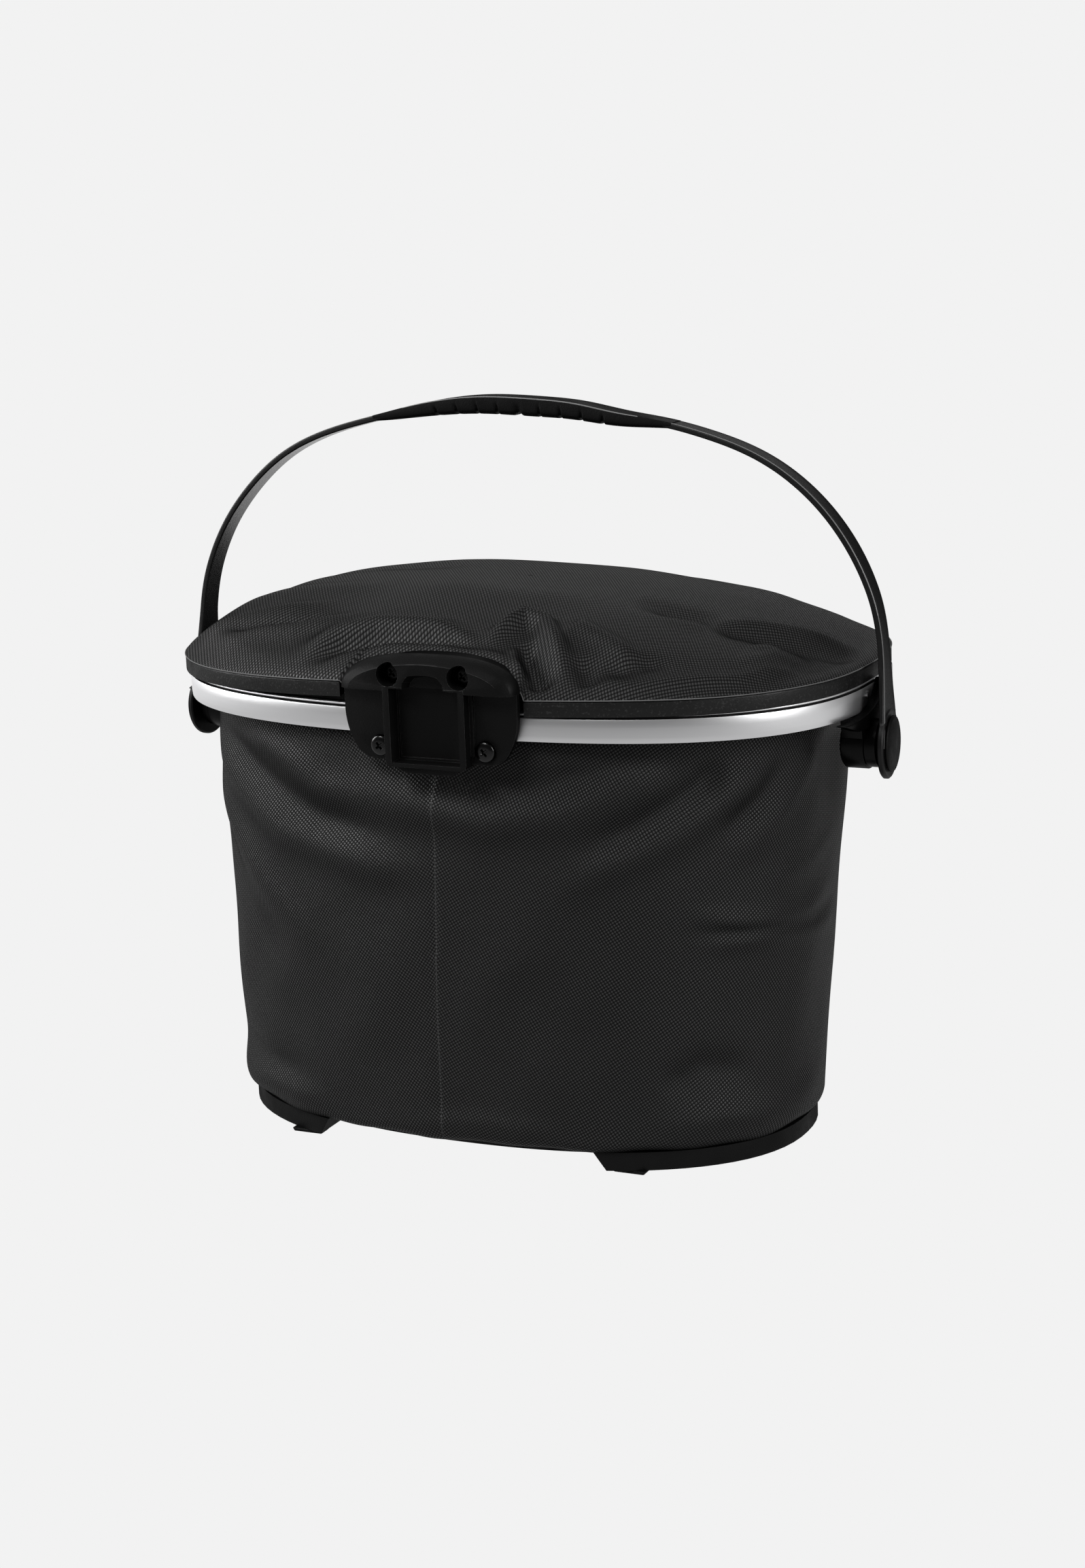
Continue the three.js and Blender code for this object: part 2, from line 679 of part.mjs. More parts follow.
const baseCentre = (bag.lower.near + bag.lower.far) / 2;
for (const [name, side] of sides) {
  for (const [end, way] of [["near", -1], ["far", 1]]) {
    addPart(`foot_${end}_${name}`, footPad(side * foot.x, baseCentre + way * foot.y), "rubber");
    addPart(`foot_end_${end}_${name}`, footPad(side * foot.endX, baseCentre + way * foot.endY), "rubber");
    const y = way < 0 ? baseScrew.nearY : baseScrew.farY;
    const fastener = placed(panScrew(baseScrew.tip - base.web + gap), (geometry) => {
      geometry.rotateX(Math.PI);
      geometry.translate(side * baseScrew.x, y, base.web - gap);
    });
    addPart(`base_screw_${end}_${name}`, fastener, "steel");
  }
}

export default model;
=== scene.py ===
"""Looks for the handlebar basket: fabric bag and lid, satin rim, moulded plastics and the carry handle."""

import math

import bmesh
import bpy
import numpy as np
from mathutils import Matrix, Vector

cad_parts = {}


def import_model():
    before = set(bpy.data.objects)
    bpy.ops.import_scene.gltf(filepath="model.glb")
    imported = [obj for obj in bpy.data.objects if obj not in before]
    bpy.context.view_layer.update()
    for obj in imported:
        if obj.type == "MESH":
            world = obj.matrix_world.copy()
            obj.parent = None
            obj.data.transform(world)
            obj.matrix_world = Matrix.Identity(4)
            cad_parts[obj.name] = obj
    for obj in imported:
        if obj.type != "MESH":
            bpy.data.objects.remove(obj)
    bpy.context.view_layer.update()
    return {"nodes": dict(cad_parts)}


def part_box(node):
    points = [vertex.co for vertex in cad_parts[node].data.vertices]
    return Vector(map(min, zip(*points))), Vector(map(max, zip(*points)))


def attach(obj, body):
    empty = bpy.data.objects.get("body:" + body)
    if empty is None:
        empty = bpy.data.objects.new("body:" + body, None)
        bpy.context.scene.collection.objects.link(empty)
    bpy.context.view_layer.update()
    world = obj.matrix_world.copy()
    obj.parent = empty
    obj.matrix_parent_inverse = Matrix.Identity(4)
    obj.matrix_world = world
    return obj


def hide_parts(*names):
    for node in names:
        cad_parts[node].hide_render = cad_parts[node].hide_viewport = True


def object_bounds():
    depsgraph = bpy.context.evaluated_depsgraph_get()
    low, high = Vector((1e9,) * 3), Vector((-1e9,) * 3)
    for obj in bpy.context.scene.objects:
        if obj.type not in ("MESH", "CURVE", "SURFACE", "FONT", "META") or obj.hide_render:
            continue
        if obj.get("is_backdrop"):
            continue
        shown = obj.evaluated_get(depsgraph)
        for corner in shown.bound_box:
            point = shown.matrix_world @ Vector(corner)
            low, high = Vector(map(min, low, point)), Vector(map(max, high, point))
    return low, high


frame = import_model()

# ---------------------------------------------------------------- places, from the frame
# Shapes are worked out in millimetres about the centre of the rim, with z = 0 just under its bead.
MM = 0.001
BEAD = 2.1
RIM_LOW, RIM_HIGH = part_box("rim_frame")
CENTRE = Vector(((RIM_LOW.x + RIM_HIGH.x) / 2, (RIM_LOW.y + RIM_HIGH.y) / 2, RIM_HIGH.z - BEAD * MM))


def local_box(node):
    """A CAD node's box in millimetres about the rim's centre, as two arrays."""
    low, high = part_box(node)
    return np.array((low - CENTRE) / MM), np.array((high - CENTRE) / MM)


RIM_A = (RIM_HIGH.x - RIM_LOW.x) / 2 / MM
RIM_B = (RIM_HIGH.y - RIM_LOW.y) / 2 / MM
RIM_POWER = 2.6
RIM_BOTTOM = local_box("rim_frame")[0][2]
BAG_TOP = local_box("bag_shell")[1][2]
BAG_BASE = local_box("bag_shell")[0][2]
LID_RIM_LOW, LID_RIM_HIGH = local_box("lid_rim")
LID_EDGE = LID_RIM_HIGH[2]
LID_A = LID_RIM_HIGH[0]
LID_B = LID_RIM_HIGH[1]
LID_CROWN = local_box("lid_cover")[1][2]
CAP_LOW, CAP_HIGH = local_box("receiver_plate")
PIVOT = (local_box("hub_cap_right")[0] + local_box("hub_cap_right")[1]) / 2
PIVOT_Y, PIVOT_Z = PIVOT[1], PIVOT[2]
BOW_HIGH = local_box("handle_bow")[1]
BOW_TILT = math.radians(2)
BOW_A = BOW_HIGH[0]
BOW_DIP = 0.9  # keeps the strip's waves under the top of its CAD node
BOW_RISE = (BOW_HIGH[2] - PIVOT_Z) / math.cos(BOW_TILT) - BOW_DIP
BOW_POWER = 2.62
BOW_THICK = 3.0
BOW_WIDTH = 14.0
DISC_OUT = BOW_A - 1.6
HANDLE_SHIFT = 1.2  # the handle stands a touch towards +X
GRIP_HALF = 86.0
RECEIVER_X = 1.5  # the receiver sits a touch right of the rim's middle
SCREW_HOLE = 2.4
PIVOT_BORE = 4.3
SIDES = (("left", -1), ("right", 1))


# ---------------------------------------------------------------- mesh helpers
def to_metres(points):
    return np.asarray(points, float) * MM + np.array(CENTRE)


def new_object(name, points, faces, sharp=None):
    mesh = bpy.data.meshes.new(name)
    mesh.from_pydata(to_metres(points).tolist(), [], [list(f) for f in faces])
    mesh.validate()
    obj = bpy.data.objects.new(name, mesh)
    bpy.context.scene.collection.objects.link(obj)
    smooth(obj, sharp)
    return obj


def smooth(obj, sharp_degrees=None):
    mesh = obj.data
    mesh.polygons.foreach_set("use_smooth", [True] * len(mesh.polygons))
    if sharp_degrees is not None:
        mesh.set_sharp_from_angle(angle=math.radians(sharp_degrees))
    mesh.update()
    return obj


def apply_modifiers(obj):
    graph = bpy.context.evaluated_depsgraph_get()
    mesh = bpy.data.meshes.new_from_object(obj.evaluated_get(graph))
    obj.modifiers.clear()
    obj.data = mesh
    return obj


def grid(name, points, closed_u=False, closed_v=False, uv=None, flip=False, sharp=None):
    """A sheet from points[v, u]; uv holds millimetres along the cloth for each point."""
    rows, cols = points.shape[:2]
    u_cells = cols if closed_u else cols - 1
    v_cells = rows if closed_v else rows - 1
    faces = []
    corners = []
    for v in range(v_cells):
        for u in range(u_cells):
            quad = [(v, u), (v, u + 1), (v + 1, u + 1), (v + 1, u)]
            if flip:
                quad.reverse()
            faces.append([(a % rows) * cols + (b % cols) for a, b in quad])
            corners.extend(quad)
    obj = new_object(name, points.reshape(-1, 3), faces, sharp)
    if uv is not None:
        layer = obj.data.uv_layers.new(name="weave")
        values = np.array([uv[min(a, uv.shape[0] - 1), min(b, uv.shape[1] - 1)] for a, b in corners])
        layer.data.foreach_set("uv", (values * 0.1).ravel().astype(np.float32))
    return obj


def fan_close(obj, ring):
    """Closes an open round edge with one n-gon."""
    bm = bmesh.new()
    bm.from_mesh(obj.data)
    bm.verts.ensure_lookup_table()
    bm.faces.new([bm.verts[i] for i in ring])
    bmesh.ops.recalc_face_normals(bm, faces=bm.faces)
    bm.to_mesh(obj.data)
    bm.free()
    return obj


def oval(count, a, b, power, centre_y=0.0):
    """Points and outward normals spread evenly by length round a superellipse, from its near middle
    round by +X; also the length reached at each point."""
    angle = np.linspace(-np.pi / 2, 1.5 * np.pi, 7201)
    c, s = np.cos(angle), np.sin(angle)
    x = a * np.sign(c) * np.abs(c) ** (2 / power)
    y = b * np.sign(s) * np.abs(s) ** (2 / power)
    length = np.concatenate([[0], np.cumsum(np.hypot(np.diff(x), np.diff(y)))])
    at = np.linspace(0, length[-1], count, endpoint=False)
    px, py = np.interp(at, length, x), np.interp(at, length, y)
    nx = np.sign(px) * np.abs(px / a) ** (power - 1) / a
    ny = np.sign(py) * np.abs(py / b) ** (power - 1) / b
    size = np.hypot(nx, ny)
    return np.stack([px, py + centre_y], 1), np.stack([nx / size, ny / size], 1), at


def oval_ring(name, section, count, lift=None, keep=None, sharp=30):
    """A ring along the rim's oval. section holds (outward offset, height) pairs, counter-clockwise.
    lift(points) raises it locally, and keep(points) says which columns stay, for an open ring."""
    spots, normals, _ = oval(count, RIM_A, RIM_B, RIM_POWER)
    closed = keep is None
    if not closed:
        wanted = keep(spots)
        start = next(i for i in range(count) if wanted[i] and not wanted[i - 1])
        order = [(start + i) % count for i in range(count)]
        order = [i for i in order if wanted[i]]
        spots, normals = spots[order], normals[order]
    raised = lift(spots) if lift else np.zeros(len(spots))
    section = np.array(section, float)
    points = np.zeros((len(section), len(spots), 3))
    for row, (out, height) in enumerate(section):
        points[row, :, :2] = spots + normals * out
        points[row, :, 2] = height + raised
    obj = grid(name, points, closed_u=closed, closed_v=True, sharp=sharp)
    if not closed:
        cols = len(spots)
        fan_close(obj, [row * cols for row in range(len(section))])
        fan_close(obj, [row * cols + cols - 1 for row in range(len(section))])
    return obj


def lathe_x(name, profile, side, y, z, steps):
    """A turned piece about an axis along X: profile holds (distance out along X, radius) pairs,
    and closes on itself or ends on the axis."""
    angle = np.linspace(0, 2 * np.pi, steps, endpoint=False)
    points = np.zeros((len(profile), steps, 3))
    for row, (x, radius) in enumerate(profile):
        points[row, :, 0] = side * x
        points[row, :, 1] = y + radius * np.cos(angle)
        points[row, :, 2] = z + radius * np.sin(angle)
    return tidy(grid(name, points, closed_u=True))


def tidy(obj, sharp=32):
    """Merges doubled points, drops empty faces, turns faces outwards."""
    bm = bmesh.new()
    bm.from_mesh(obj.data)
    bmesh.ops.remove_doubles(bm, verts=bm.verts, dist=1e-6)
    bmesh.ops.dissolve_degenerate(bm, edges=bm.edges, dist=1e-7)
    bmesh.ops.recalc_face_normals(bm, faces=bm.faces)
    bm.to_mesh(obj.data)
    bm.free()
    return smooth(obj, sharp)


def prism(name, outline, low, high, axis="y"):
    """A solid from a flat outline: (x, z) pairs made thick along Y, (x, y) along Z or (y, z) along X."""
    count = len(outline)
    points = []
    for level in (low, high):
        for p, q in outline:
            spot = {"y": (p, level, q), "z": (p, q, level), "x": (level, p, q)}[axis]
            points.append(spot)
    faces = [list(range(count)), list(range(2 * count - 1, count - 1, -1))]
    for i in range(count):
        j = (i + 1) % count
        faces.append([j, i, i + count, j + count])
    return tidy(new_object(name, points, faces))


def cut(obj, *tools, operation="DIFFERENCE"):
    for tool in tools:
        modifier = obj.modifiers.new("cut", "BOOLEAN")
        modifier.operation = operation
        modifier.solver = "EXACT"
        modifier.object = tool
        apply_modifiers(obj)
        bpy.data.objects.remove(tool)
    return obj


def soften(obj, width, segments=3, angle=28, edge=None):
    """Rounds the hard edges, as a mould does; the rounded faces can take a material of their own."""
    if edge:
        while len(obj.data.materials) < 2:
            obj.data.materials.append(edge)
    modifier = obj.modifiers.new("edge", "BEVEL")
    modifier.width = width * MM
    modifier.segments = segments
    modifier.limit_method = "ANGLE"
    modifier.angle_limit = math.radians(angle)
    modifier.harden_normals = False
    modifier.material = 1 if edge else -1
    apply_modifiers(obj)
    return smooth(obj, 40)


def rod(name, radius, start, end, steps=48):
    """A plain cylinder between two points, as a cutting tool or the core of a piece."""
    start, end = np.array(start, float), np.array(end, float)
    axis = Vector(end - start)
    turn = axis.to_track_quat("Z", "Y").to_matrix()
    angle = np.linspace(0, 2 * np.pi, steps, endpoint=False)
    circle = np.stack([radius * np.cos(angle), radius * np.sin(angle), np.zeros(steps)], 1)
    circle = circle @ np.array(turn).T
    points = np.concatenate([circle + start, circle + end])
    faces = [list(range(steps))[::-1], list(range(steps, 2 * steps))]
    for i in range(steps):
        j = (i + 1) % steps
        faces.append([i, j, j + steps, i + steps])
    return tidy(new_object(name, points, faces))


def arc(centre, radius, start, end, steps=6):
    """Points of a round corner, angles in degrees."""
    angles = np.radians(np.linspace(start, end, steps))
    return [(centre[0] + radius * math.cos(t), centre[1] + radius * math.sin(t)) for t in angles]


def curve_points(*corners, steps=10):
    """A quadratic curve from the first corner to the last, pulled by the middle one."""
    p, q, r = (np.array(c, float) for c in corners)
    t = np.linspace(0, 1, steps)[:, None]
    return [tuple(v) for v in (1 - t) ** 2 * p + 2 * t * (1 - t) * q + t**2 * r]


def ramp(value, low, high):
    t = np.clip((value - low) / (high - low), 0, 1)
    return t * t * (3 - 2 * t)


def strokes(x, y, folds):
    """Height of soft folds over a flat (x, y) sheet. A fold is (points, half width, height): a ridge,
    or a valley when the height is negative, that runs through its points and fades at its ends."""
    total = np.zeros(np.shape(x))
    for points, width, height in folds:
        path = np.array(points, float)
        best = np.full(np.shape(x), 1e9)
        where = np.zeros(np.shape(x))
        pieces = len(path) - 1
        for i in range(pieces):
            a, b = path[i], path[i + 1]
            d = b - a
            t = np.clip(((x - a[0]) * d[0] + (y - a[1]) * d[1]) / (d @ d), 0, 1)
            distance = np.hypot(x - a[0] - t * d[0], y - a[1] - t * d[1])
            nearer = distance < best
            best = np.where(nearer, distance, best)
            where = np.where(nearer, (i + t) / pieces, where)
        fade = ramp(where, -0.05, 0.3) * ramp(1 - where, -0.05, 0.3)
        total += height * fade * np.exp(-((best / width) ** 2))
    return total


def thicken(obj, outside, thickness):
    """Gives a fabric sheet its thickness and its lining."""
    obj.data.materials.append(outside)
    obj.data.materials.append(LINING)
    wall = obj.modifiers.new("thickness", "SOLIDIFY")
    wall.thickness = thickness * MM
    wall.offset = -1
    wall.material_offset = 1
    apply_modifiers(obj)
    return smooth(obj, 60)


def shift(obj, across, deeper=0.0):
    """Moves a piece a few millimetres along X, and along Y."""
    obj.data.transform(Matrix.Translation((across * MM, deeper * MM, 0)))
    return obj


def finish_piece(obj, body, material, *nodes, slot=None, edge=None):
    """Gives a piece its materials, its body and the CAD nodes it stands for."""
    wanted = [material, edge] if edge else [material]
    while len(obj.data.materials) < len(wanted):
        obj.data.materials.append(None)
    for i, look in enumerate(wanted):
        obj.data.materials[i] = look
    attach(obj, body)
    if nodes:
        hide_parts(*nodes)
    return obj


# ---------------------------------------------------------------- materials
class Graph:
    """Adds shader nodes to a tree and links them."""

    def __init__(self, tree):
        self.tree = tree
        self.coords = self.add("TexCoord")

    def add(self, kind, inputs=None, **settings):
        node = self.tree.nodes.new("ShaderNode" + kind)
        for key, value in settings.items():
            setattr(node, key, value)
        for key, value in (inputs or {}).items():
            self.set(node.inputs[key], value)
        return node

    def set(self, socket, value):
        if isinstance(value, bpy.types.NodeSocket):
            self.tree.links.new(value, socket)
        else:
            socket.default_value = value

    def math(self, operation, a, b=0.0, c=0.0):
        return self.add("Math", {0: a, 1: b, 2: c}, operation=operation).outputs[0]

    def multiply(self, a, b):
        return self.math("MULTIPLY", a, b)

    def noise(self, scale, detail=3.0, vector=None):
        place = vector or self.coords.outputs["Object"]
        return self.add("TexNoise", {"Vector": place, "Scale": scale, "Detail": detail}).outputs["Fac"]

    def ramp(self, value, low, high, from_low=0.0, from_high=1.0):
        inputs = {0: value, 1: from_low, 2: from_high, 3: low, 4: high}
        return self.add("MapRange", inputs).outputs[0]

    def mix(self, share, a, b):
        node = self.add("Mix", data_type="RGBA")
        self.set(node.inputs[0], share)
        self.set(node.inputs[6], a)
        self.set(node.inputs[7], b)
        return node.outputs[2]

    def bump(self, height, strength, distance, normal=None):
        inputs = {"Height": height, "Strength": strength, "Distance": distance}
        if normal is not None:
            inputs["Normal"] = normal
        return self.add("Bump", inputs).outputs[0]

    def turned_away(self, level, power=1.5):
        """A level that fades where the surface turns edge-on to the eye."""
        facing = self.add("LayerWeight", {"Blend": 0.5}).outputs["Facing"]
        kept = self.math("POWER", self.math("SUBTRACT", 1.0, facing), power)
        return self.multiply(level, kept)

    def by_ray(self, seen, mirrored_in, scattered):
        """Picks a brightness by the kind of ray: camera, glossy or diffuse."""
        path = self.add("LightPath").outputs
        value = self.add("Mix", {0: path["Is Glossy Ray"], 2: scattered, 3: mirrored_in}).outputs[0]
        return self.add("Mix", {0: path["Is Camera Ray"], 2: value, 3: seen}).outputs[0]


class Nodes(Graph):
    """The graph of a new material, round its Principled shader."""

    def __init__(self, name):
        self.material = bpy.data.materials.new(name)
        self.material.use_nodes = True
        super().__init__(self.material.node_tree)
        self.shader = self.tree.nodes["Principled BSDF"]

    def surface(self, **values):
        for key, value in values.items():
            self.set(self.shader.inputs[key.replace("_", " ")], value)
        return self.material


def grey(value, tint=0.0):
    return (value, value, value * (1 + tint), 1)


def weave_height(n, pitch, turn):
    """Threads of a plain weave on the bias, mirrored about the line U = 0; 1 on a crossing's top."""
    uv = n.add("UVMap", uv_map="weave").outputs[0]
    parts = n.add("SeparateXYZ", {0: uv}).outputs
    across = n.math("ABSOLUTE", parts[0])
    # UVs hold centimetres
    scale = 10 / pitch
    c, s = math.cos(math.radians(turn)) * scale, math.sin(math.radians(turn)) * scale
    warp = n.math("ADD", n.multiply(across, c), n.multiply(parts[1], s))
    weft = n.math("SUBTRACT", n.multiply(parts[1], c), n.multiply(across, s))
    waves = [n.math("SINE", n.multiply(v, math.pi)) for v in (warp, weft)]
    over = n.math("ABSOLUTE", n.multiply(waves[0], waves[1]))
    return over, parts


WEAVE_PITCH = 1.5
WEAVE_TURN = 32  # degrees between the threads and the seam
STITCH_PITCH = 0.17  # in the UVs' centimetres


def fabric(name, seam=False):
    """Coated polyester in a coarse plain weave: the weave's sheen and shade are painted in, pale thread
    tops on near-black gaps.
    """
    n = Nodes(name)
    over, parts = weave_height(n, WEAVE_PITCH, WEAVE_TURN)
    blotch = n.noise(9, 4)
    fine = n.noise(1400, 2)
    share = n.multiply(n.math("POWER", over, 1.4), n.ramp(fine, 0.7, 1.3, 0.3, 0.7))
    # painted shade: the pale thread tops fade to the gap colour where the cloth turns edge-on to the eye
    share = n.turned_away(share, 0.8)
    light = n.mix(blotch, grey(0.032), grey(0.043))
    # painted sheen and shade of the weave: the thread tops lighter, the gaps between them near black
    color = n.mix(share, grey(0.003), light)
    if seam:
        near_line = n.math("LESS_THAN", n.math("ABSOLUTE", parts[0]), 0.04)
        stitch = n.math("SINE", n.multiply(parts[1], 2 * math.pi / STITCH_PITCH))
        dots = n.multiply(near_line, n.ramp(stitch, 0.15, 0.7, -0.4, 0.5))
        color = n.mix(dots, color, grey(0.05))
    rough = n.ramp(over, 0.58, 0.36)
    normal = n.bump(over, 0.5, 0.0005)
    normal = n.bump(n.noise(160, 3), 0.12, 0.0012, normal)
    return n.surface(
        Base_Color=color,
        Roughness=rough,
        Specular_IOR_Level=n.turned_away(n.ramp(over, 0.05, 0.36), 1.2),
        Normal=normal,
    )


def lining(name):
    """The smoother, coated inner face of the bag's fabric."""
    n = Nodes(name)
    grain = n.noise(900, 3)
    color = n.mix(n.noise(14, 4), grey(0.035), grey(0.055))
    return n.surface(Base_Color=color, Roughness=0.55, Normal=n.bump(grain, 0.25, 0.0004))


def aluminium(name):
    """Anodised, fine bead-blasted aluminium with faint drawing lines along the extrusion."""
    n = Nodes(name)
    grain = n.noise(2600, 2)
    streak_place = n.add("Mapping", {0: n.coords.outputs["Object"], 3: (3, 3, 900)}).outputs[0]
    streak = n.noise(1.0, 3, streak_place)
    cloud = n.noise(12, 3)
    color = n.mix(cloud, grey(0.62, 0.012), grey(0.67, 0.012))
    rough = n.math("ADD", n.ramp(grain, 0.38, 0.48), n.ramp(streak, -0.03, 0.03))
    normal = n.bump(grain, 0.10, 0.0002)
    normal = n.bump(streak, 0.03, 0.0003, normal)
    return n.surface(Base_Color=color, Metallic=1.0, Roughness=rough, Normal=normal)


def moulded(name, value=0.0035, rough=0.5, grain=1300, depth=0.45, fleck=0.0, shine=0.16):
    """Black moulded plastic with a fine spark-eroded grain and faint scuffs."""
    n = Nodes(name)
    pits = n.noise(grain, 2)
    cloud = n.noise(25, 4)
    color = n.mix(cloud, grey(value * 0.8), grey(value * 1.2))
    if fleck:
        spots = n.ramp(n.noise(grain * 0.8, 1), 0.0, 1.0, 0.58, 0.72)
        color = n.mix(spots, color, grey(fleck))
    scuff = n.ramp(n.noise(60, 5), rough - 0.06, rough + 0.08, 0.35, 0.65)
    return n.surface(
        Base_Color=color,
        Roughness=scuff,
        Specular_IOR_Level=n.turned_away(shine),
        Normal=n.bump(pits, depth, 0.0003),
    )


def painted_strip(name, low, high, rough, shine, fade=1.5):
    """Black powder coat: fine orange peel, a little cloudy."""
    n = Nodes(name)
    peel = n.noise(700, 3)
    color = n.mix(n.noise(40, 3), grey(low), grey(high))
    gloss = n.ramp(n.noise(1800, 2), rough - 0.06, rough + 0.08, 0.35, 0.65)
    normal = n.bump(peel, 0.2, 0.0003)
    level = n.turned_away(shine, fade)
    return n.surface(Base_Color=color, Roughness=gloss, Specular_IOR_Level=level, Normal=normal)


def metal(name, value, rough):
    n = Nodes(name)
    grain = n.noise(1500, 3)
    color = n.mix(n.noise(200, 3), grey(value * 0.85), grey(value * 1.1))
    return n.surface(
        Base_Color=color,
        Metallic=1.0,
        Roughness=n.ramp(grain, rough - 0.06, rough + 0.1),
        Normal=n.bump(grain, 0.08, 0.0002),
    )


BAG_FABRIC = fabric("bag_fabric", seam=True)
LID_FABRIC = fabric("lid_fabric")
LINING = lining("bag_lining")
ALUMINIUM = aluminium("frame_aluminium")
PLASTIC = moulded("plastic_matte", value=0.0028, shine=0.13)
# painted highlight: the receiver's rounded edges take this far lighter, shinier copy of the black plastic
PLASTIC_EDGE_HIGHLIGHT = moulded("plastic_edge_painted_highlight", value=0.09, rough=0.36, grain=900, depth=0.1, shine=0.8)
RIM_PLASTIC = moulded(
    "plastic_speckled", value=0.004, rough=0.45, grain=1100, depth=0.5, fleck=0.02, shine=0.3
)
GLOSS = moulded("plastic_gloss", value=0.0012, rough=0.28, grain=900, depth=0.1, shine=0.12)
GROOVE = moulded("groove_shade", value=0.010, rough=0.6, grain=900, depth=0.2)
RUBBER = moulded("rubber_black", value=0.004, rough=0.65, grain=900, depth=0.2, shine=0.15)
STRIP = painted_strip("handle_paint", 0.003, 0.006, 0.42, 0.25)
# painted highlight: a far lighter copy of the strip's paint, for the near edge of the strip and of the
# grip
STRIP_EDGE_HIGHLIGHT = painted_strip("handle_edge_painted_highlight", 0.10, 0.13, 0.38, 0.35, 0.0)
STRIP_INNER = painted_strip("handle_paint_inner", 0.006, 0.010, 0.26, 1.0, 0.0)
BLACK_SCREW = metal("screw_black", 0.032, 0.22)
DARK_SCREW = metal("screw_shaded", 0.012, 0.22)
ZINC = metal("screw_zinc", 0.5, 0.32)
EDGE_CORD = moulded("edge_binding", value=0.10, rough=0.6, grain=1600, depth=0.4)


# ---------------------------------------------------------------- the rim
def rim_frame():
    """The extrusion: a flat face that rolls under at the bottom, a groove and a bright bead on top."""
    low, flange, wall = RIM_BOTTOM, 9.0, 2.2
    section = [(-flange, low), (-1.2, low), (-0.6, low + 0.15), (-0.35, low + 0.6), (-0.1, low + 2.6)]
    section += [(0.0, low + 3.2), (0.0, -5.0), (0.0, -0.95), (-0.35, -0.3), (-1.6, -0.15), (-1.6, 0.8)]
    section += [(-0.6, 0.95)] + arc((-0.85, 1.45), 0.5, -40, 90, 6)
    section += [(-2.0, BEAD - 0.05), (-2.4, BEAD - 0.4), (-flange, BEAD - 0.4)]
    section += [(-flange, 0.1), (-wall, 0.1), (-wall, low + 2), (-flange, low + 2)]
    obj = oval_ring("rim_extrusion", section, 420, sharp=34)
    finish_piece(obj, "basket", ALUMINIUM, "rim_frame", slot="frame_aluminium", edge=GROOVE)
    for face in obj.data.polygons:
        height = (face.center.z - CENTRE.z) / MM
        if -0.27 < height < 0.9:
            face.material_index = 1
    return obj


# ---------------------------------------------------------------- the bag
BAG_NECK = -13.4
BAG_SHOULDER = -15.5
BAG_UPPER = dict(a=173.2, near=-119.5, far=117.0, power=2.5)
BAG_LOWER = dict(a=163.0, near=-126.0, far=77.0, power=2.25)
BAG_LEAN = -2.2  # the bag hangs a little towards -X
BASE_LEAN = -0.8
SEAM_DRIFT = -4.0  # the seam leans towards -X on its way down
HEM_RADIUS = 6.5
MOUTH_INSET = 9.8  # from the rim's outer face to the cloth where it enters the channel
BAG_WALL, LID_WALL = 1.4, 1.3
FOLD_DEPTH = 1.6
BAG_FOLDS = [
    # swags that hang between the receiver and the hubs
    ([(-60, -36), (-20, -49), (30, -56), (70, -51), (107, -35), (122, -26)], 11, 2.6),
    ([(-40, -30), (10, -36), (60, -36), (95, -24)], 8, -1.6),
    ([(60, -93), (92, -77), (127, -60), (155, -41), (182, -24)], 10, 2.4),
    ([(70, -72), (105, -58), (138, -38), (150, -25)], 7, -1.7),
    ([(150, -80), (181, -59), (203, -38), (214, -24)], 8, 2.0),
    ([(146, -64), (172, -46), (190, -26)], 6, -1.5),
    ([(-190, -22), (-155, -42), (-97, -72), (-35, -84), (0, -84)], 10, 2.3),
    ([(-165, -18), (-120, -40), (-70, -62), (-20, -68)], 7, -1.5),
    ([(-130, -17), (-105, -24), (-70, -44), (-27, -52)], 8, 2.0),
    ([(-196, -40), (-159, -68), (-114, -104), (-73, -134)], 11, 1.6),
    ([(-180, -80), (-140, -115), (-100, -150)], 12, -1.2),
    # short creases pulled across the right-hand end
    ([(128, -104), (160, -111), (203, -113), (240, -104)], 6, 1.5),
    ([(136, -121), (170, -120), (225, -127), (262, -124)], 5, 1.3),
    ([(130, -112), (168, -116), (215, -120), (250, -114)], 3.5, -1.3),
    ([(170, -92), (210, -88), (245, -78)], 6, 0.9),
    # fullness over the base
    ([(104, -218), (143, -211), (192, -214), (230, -206)], 9, 2.4),
    ([(112, -196), (136, -184), (165, -190)], 9, -1.6),
    ([(-190, -208), (-148, -218), (-106, -215), (-70, -217)], 8, 2.0),
    ([(-170, -196), (-130, -200), (-90, -203)], 7, -1.0),
    ([(-30, -219), (20, -216), (70, -219)], 6, 0.8),
    ([(-150, -150), (-120, -168), (-80, -176)], 14, -0.9),
    ([(40, -130), (60, -160), (90, -180)], 20, -1.2),
    ([(-60, -110), (-40, -150), (-36, -190)], 18, 0.8),
    # the far side and the ends, seen only from behind
    ([(330, -30), (380, -62), (450, -70), (500, -60)], 12, 2.0),
    ([(-330, -30), (-380, -58), (-440, -78), (-500, -66)], 12, 2.0),
    ([(300, -60), (350, -100), (420, -130)], 13, 1.4),
    ([(-300, -60), (-345, -105), (-400, -140)], 13, 1.4),
    ([(400, -210), (450, -216), (500, -212)], 9, 1.6),
    ([(-400, -212), (-450, -216), (-500, -210)], 9, 1.6),
    ([(260, -150), (290, -170), (330, -176)], 10, 1.0),
    ([(-255, -120), (-280, -150), (-300, -190)], 12, 1.2),
]


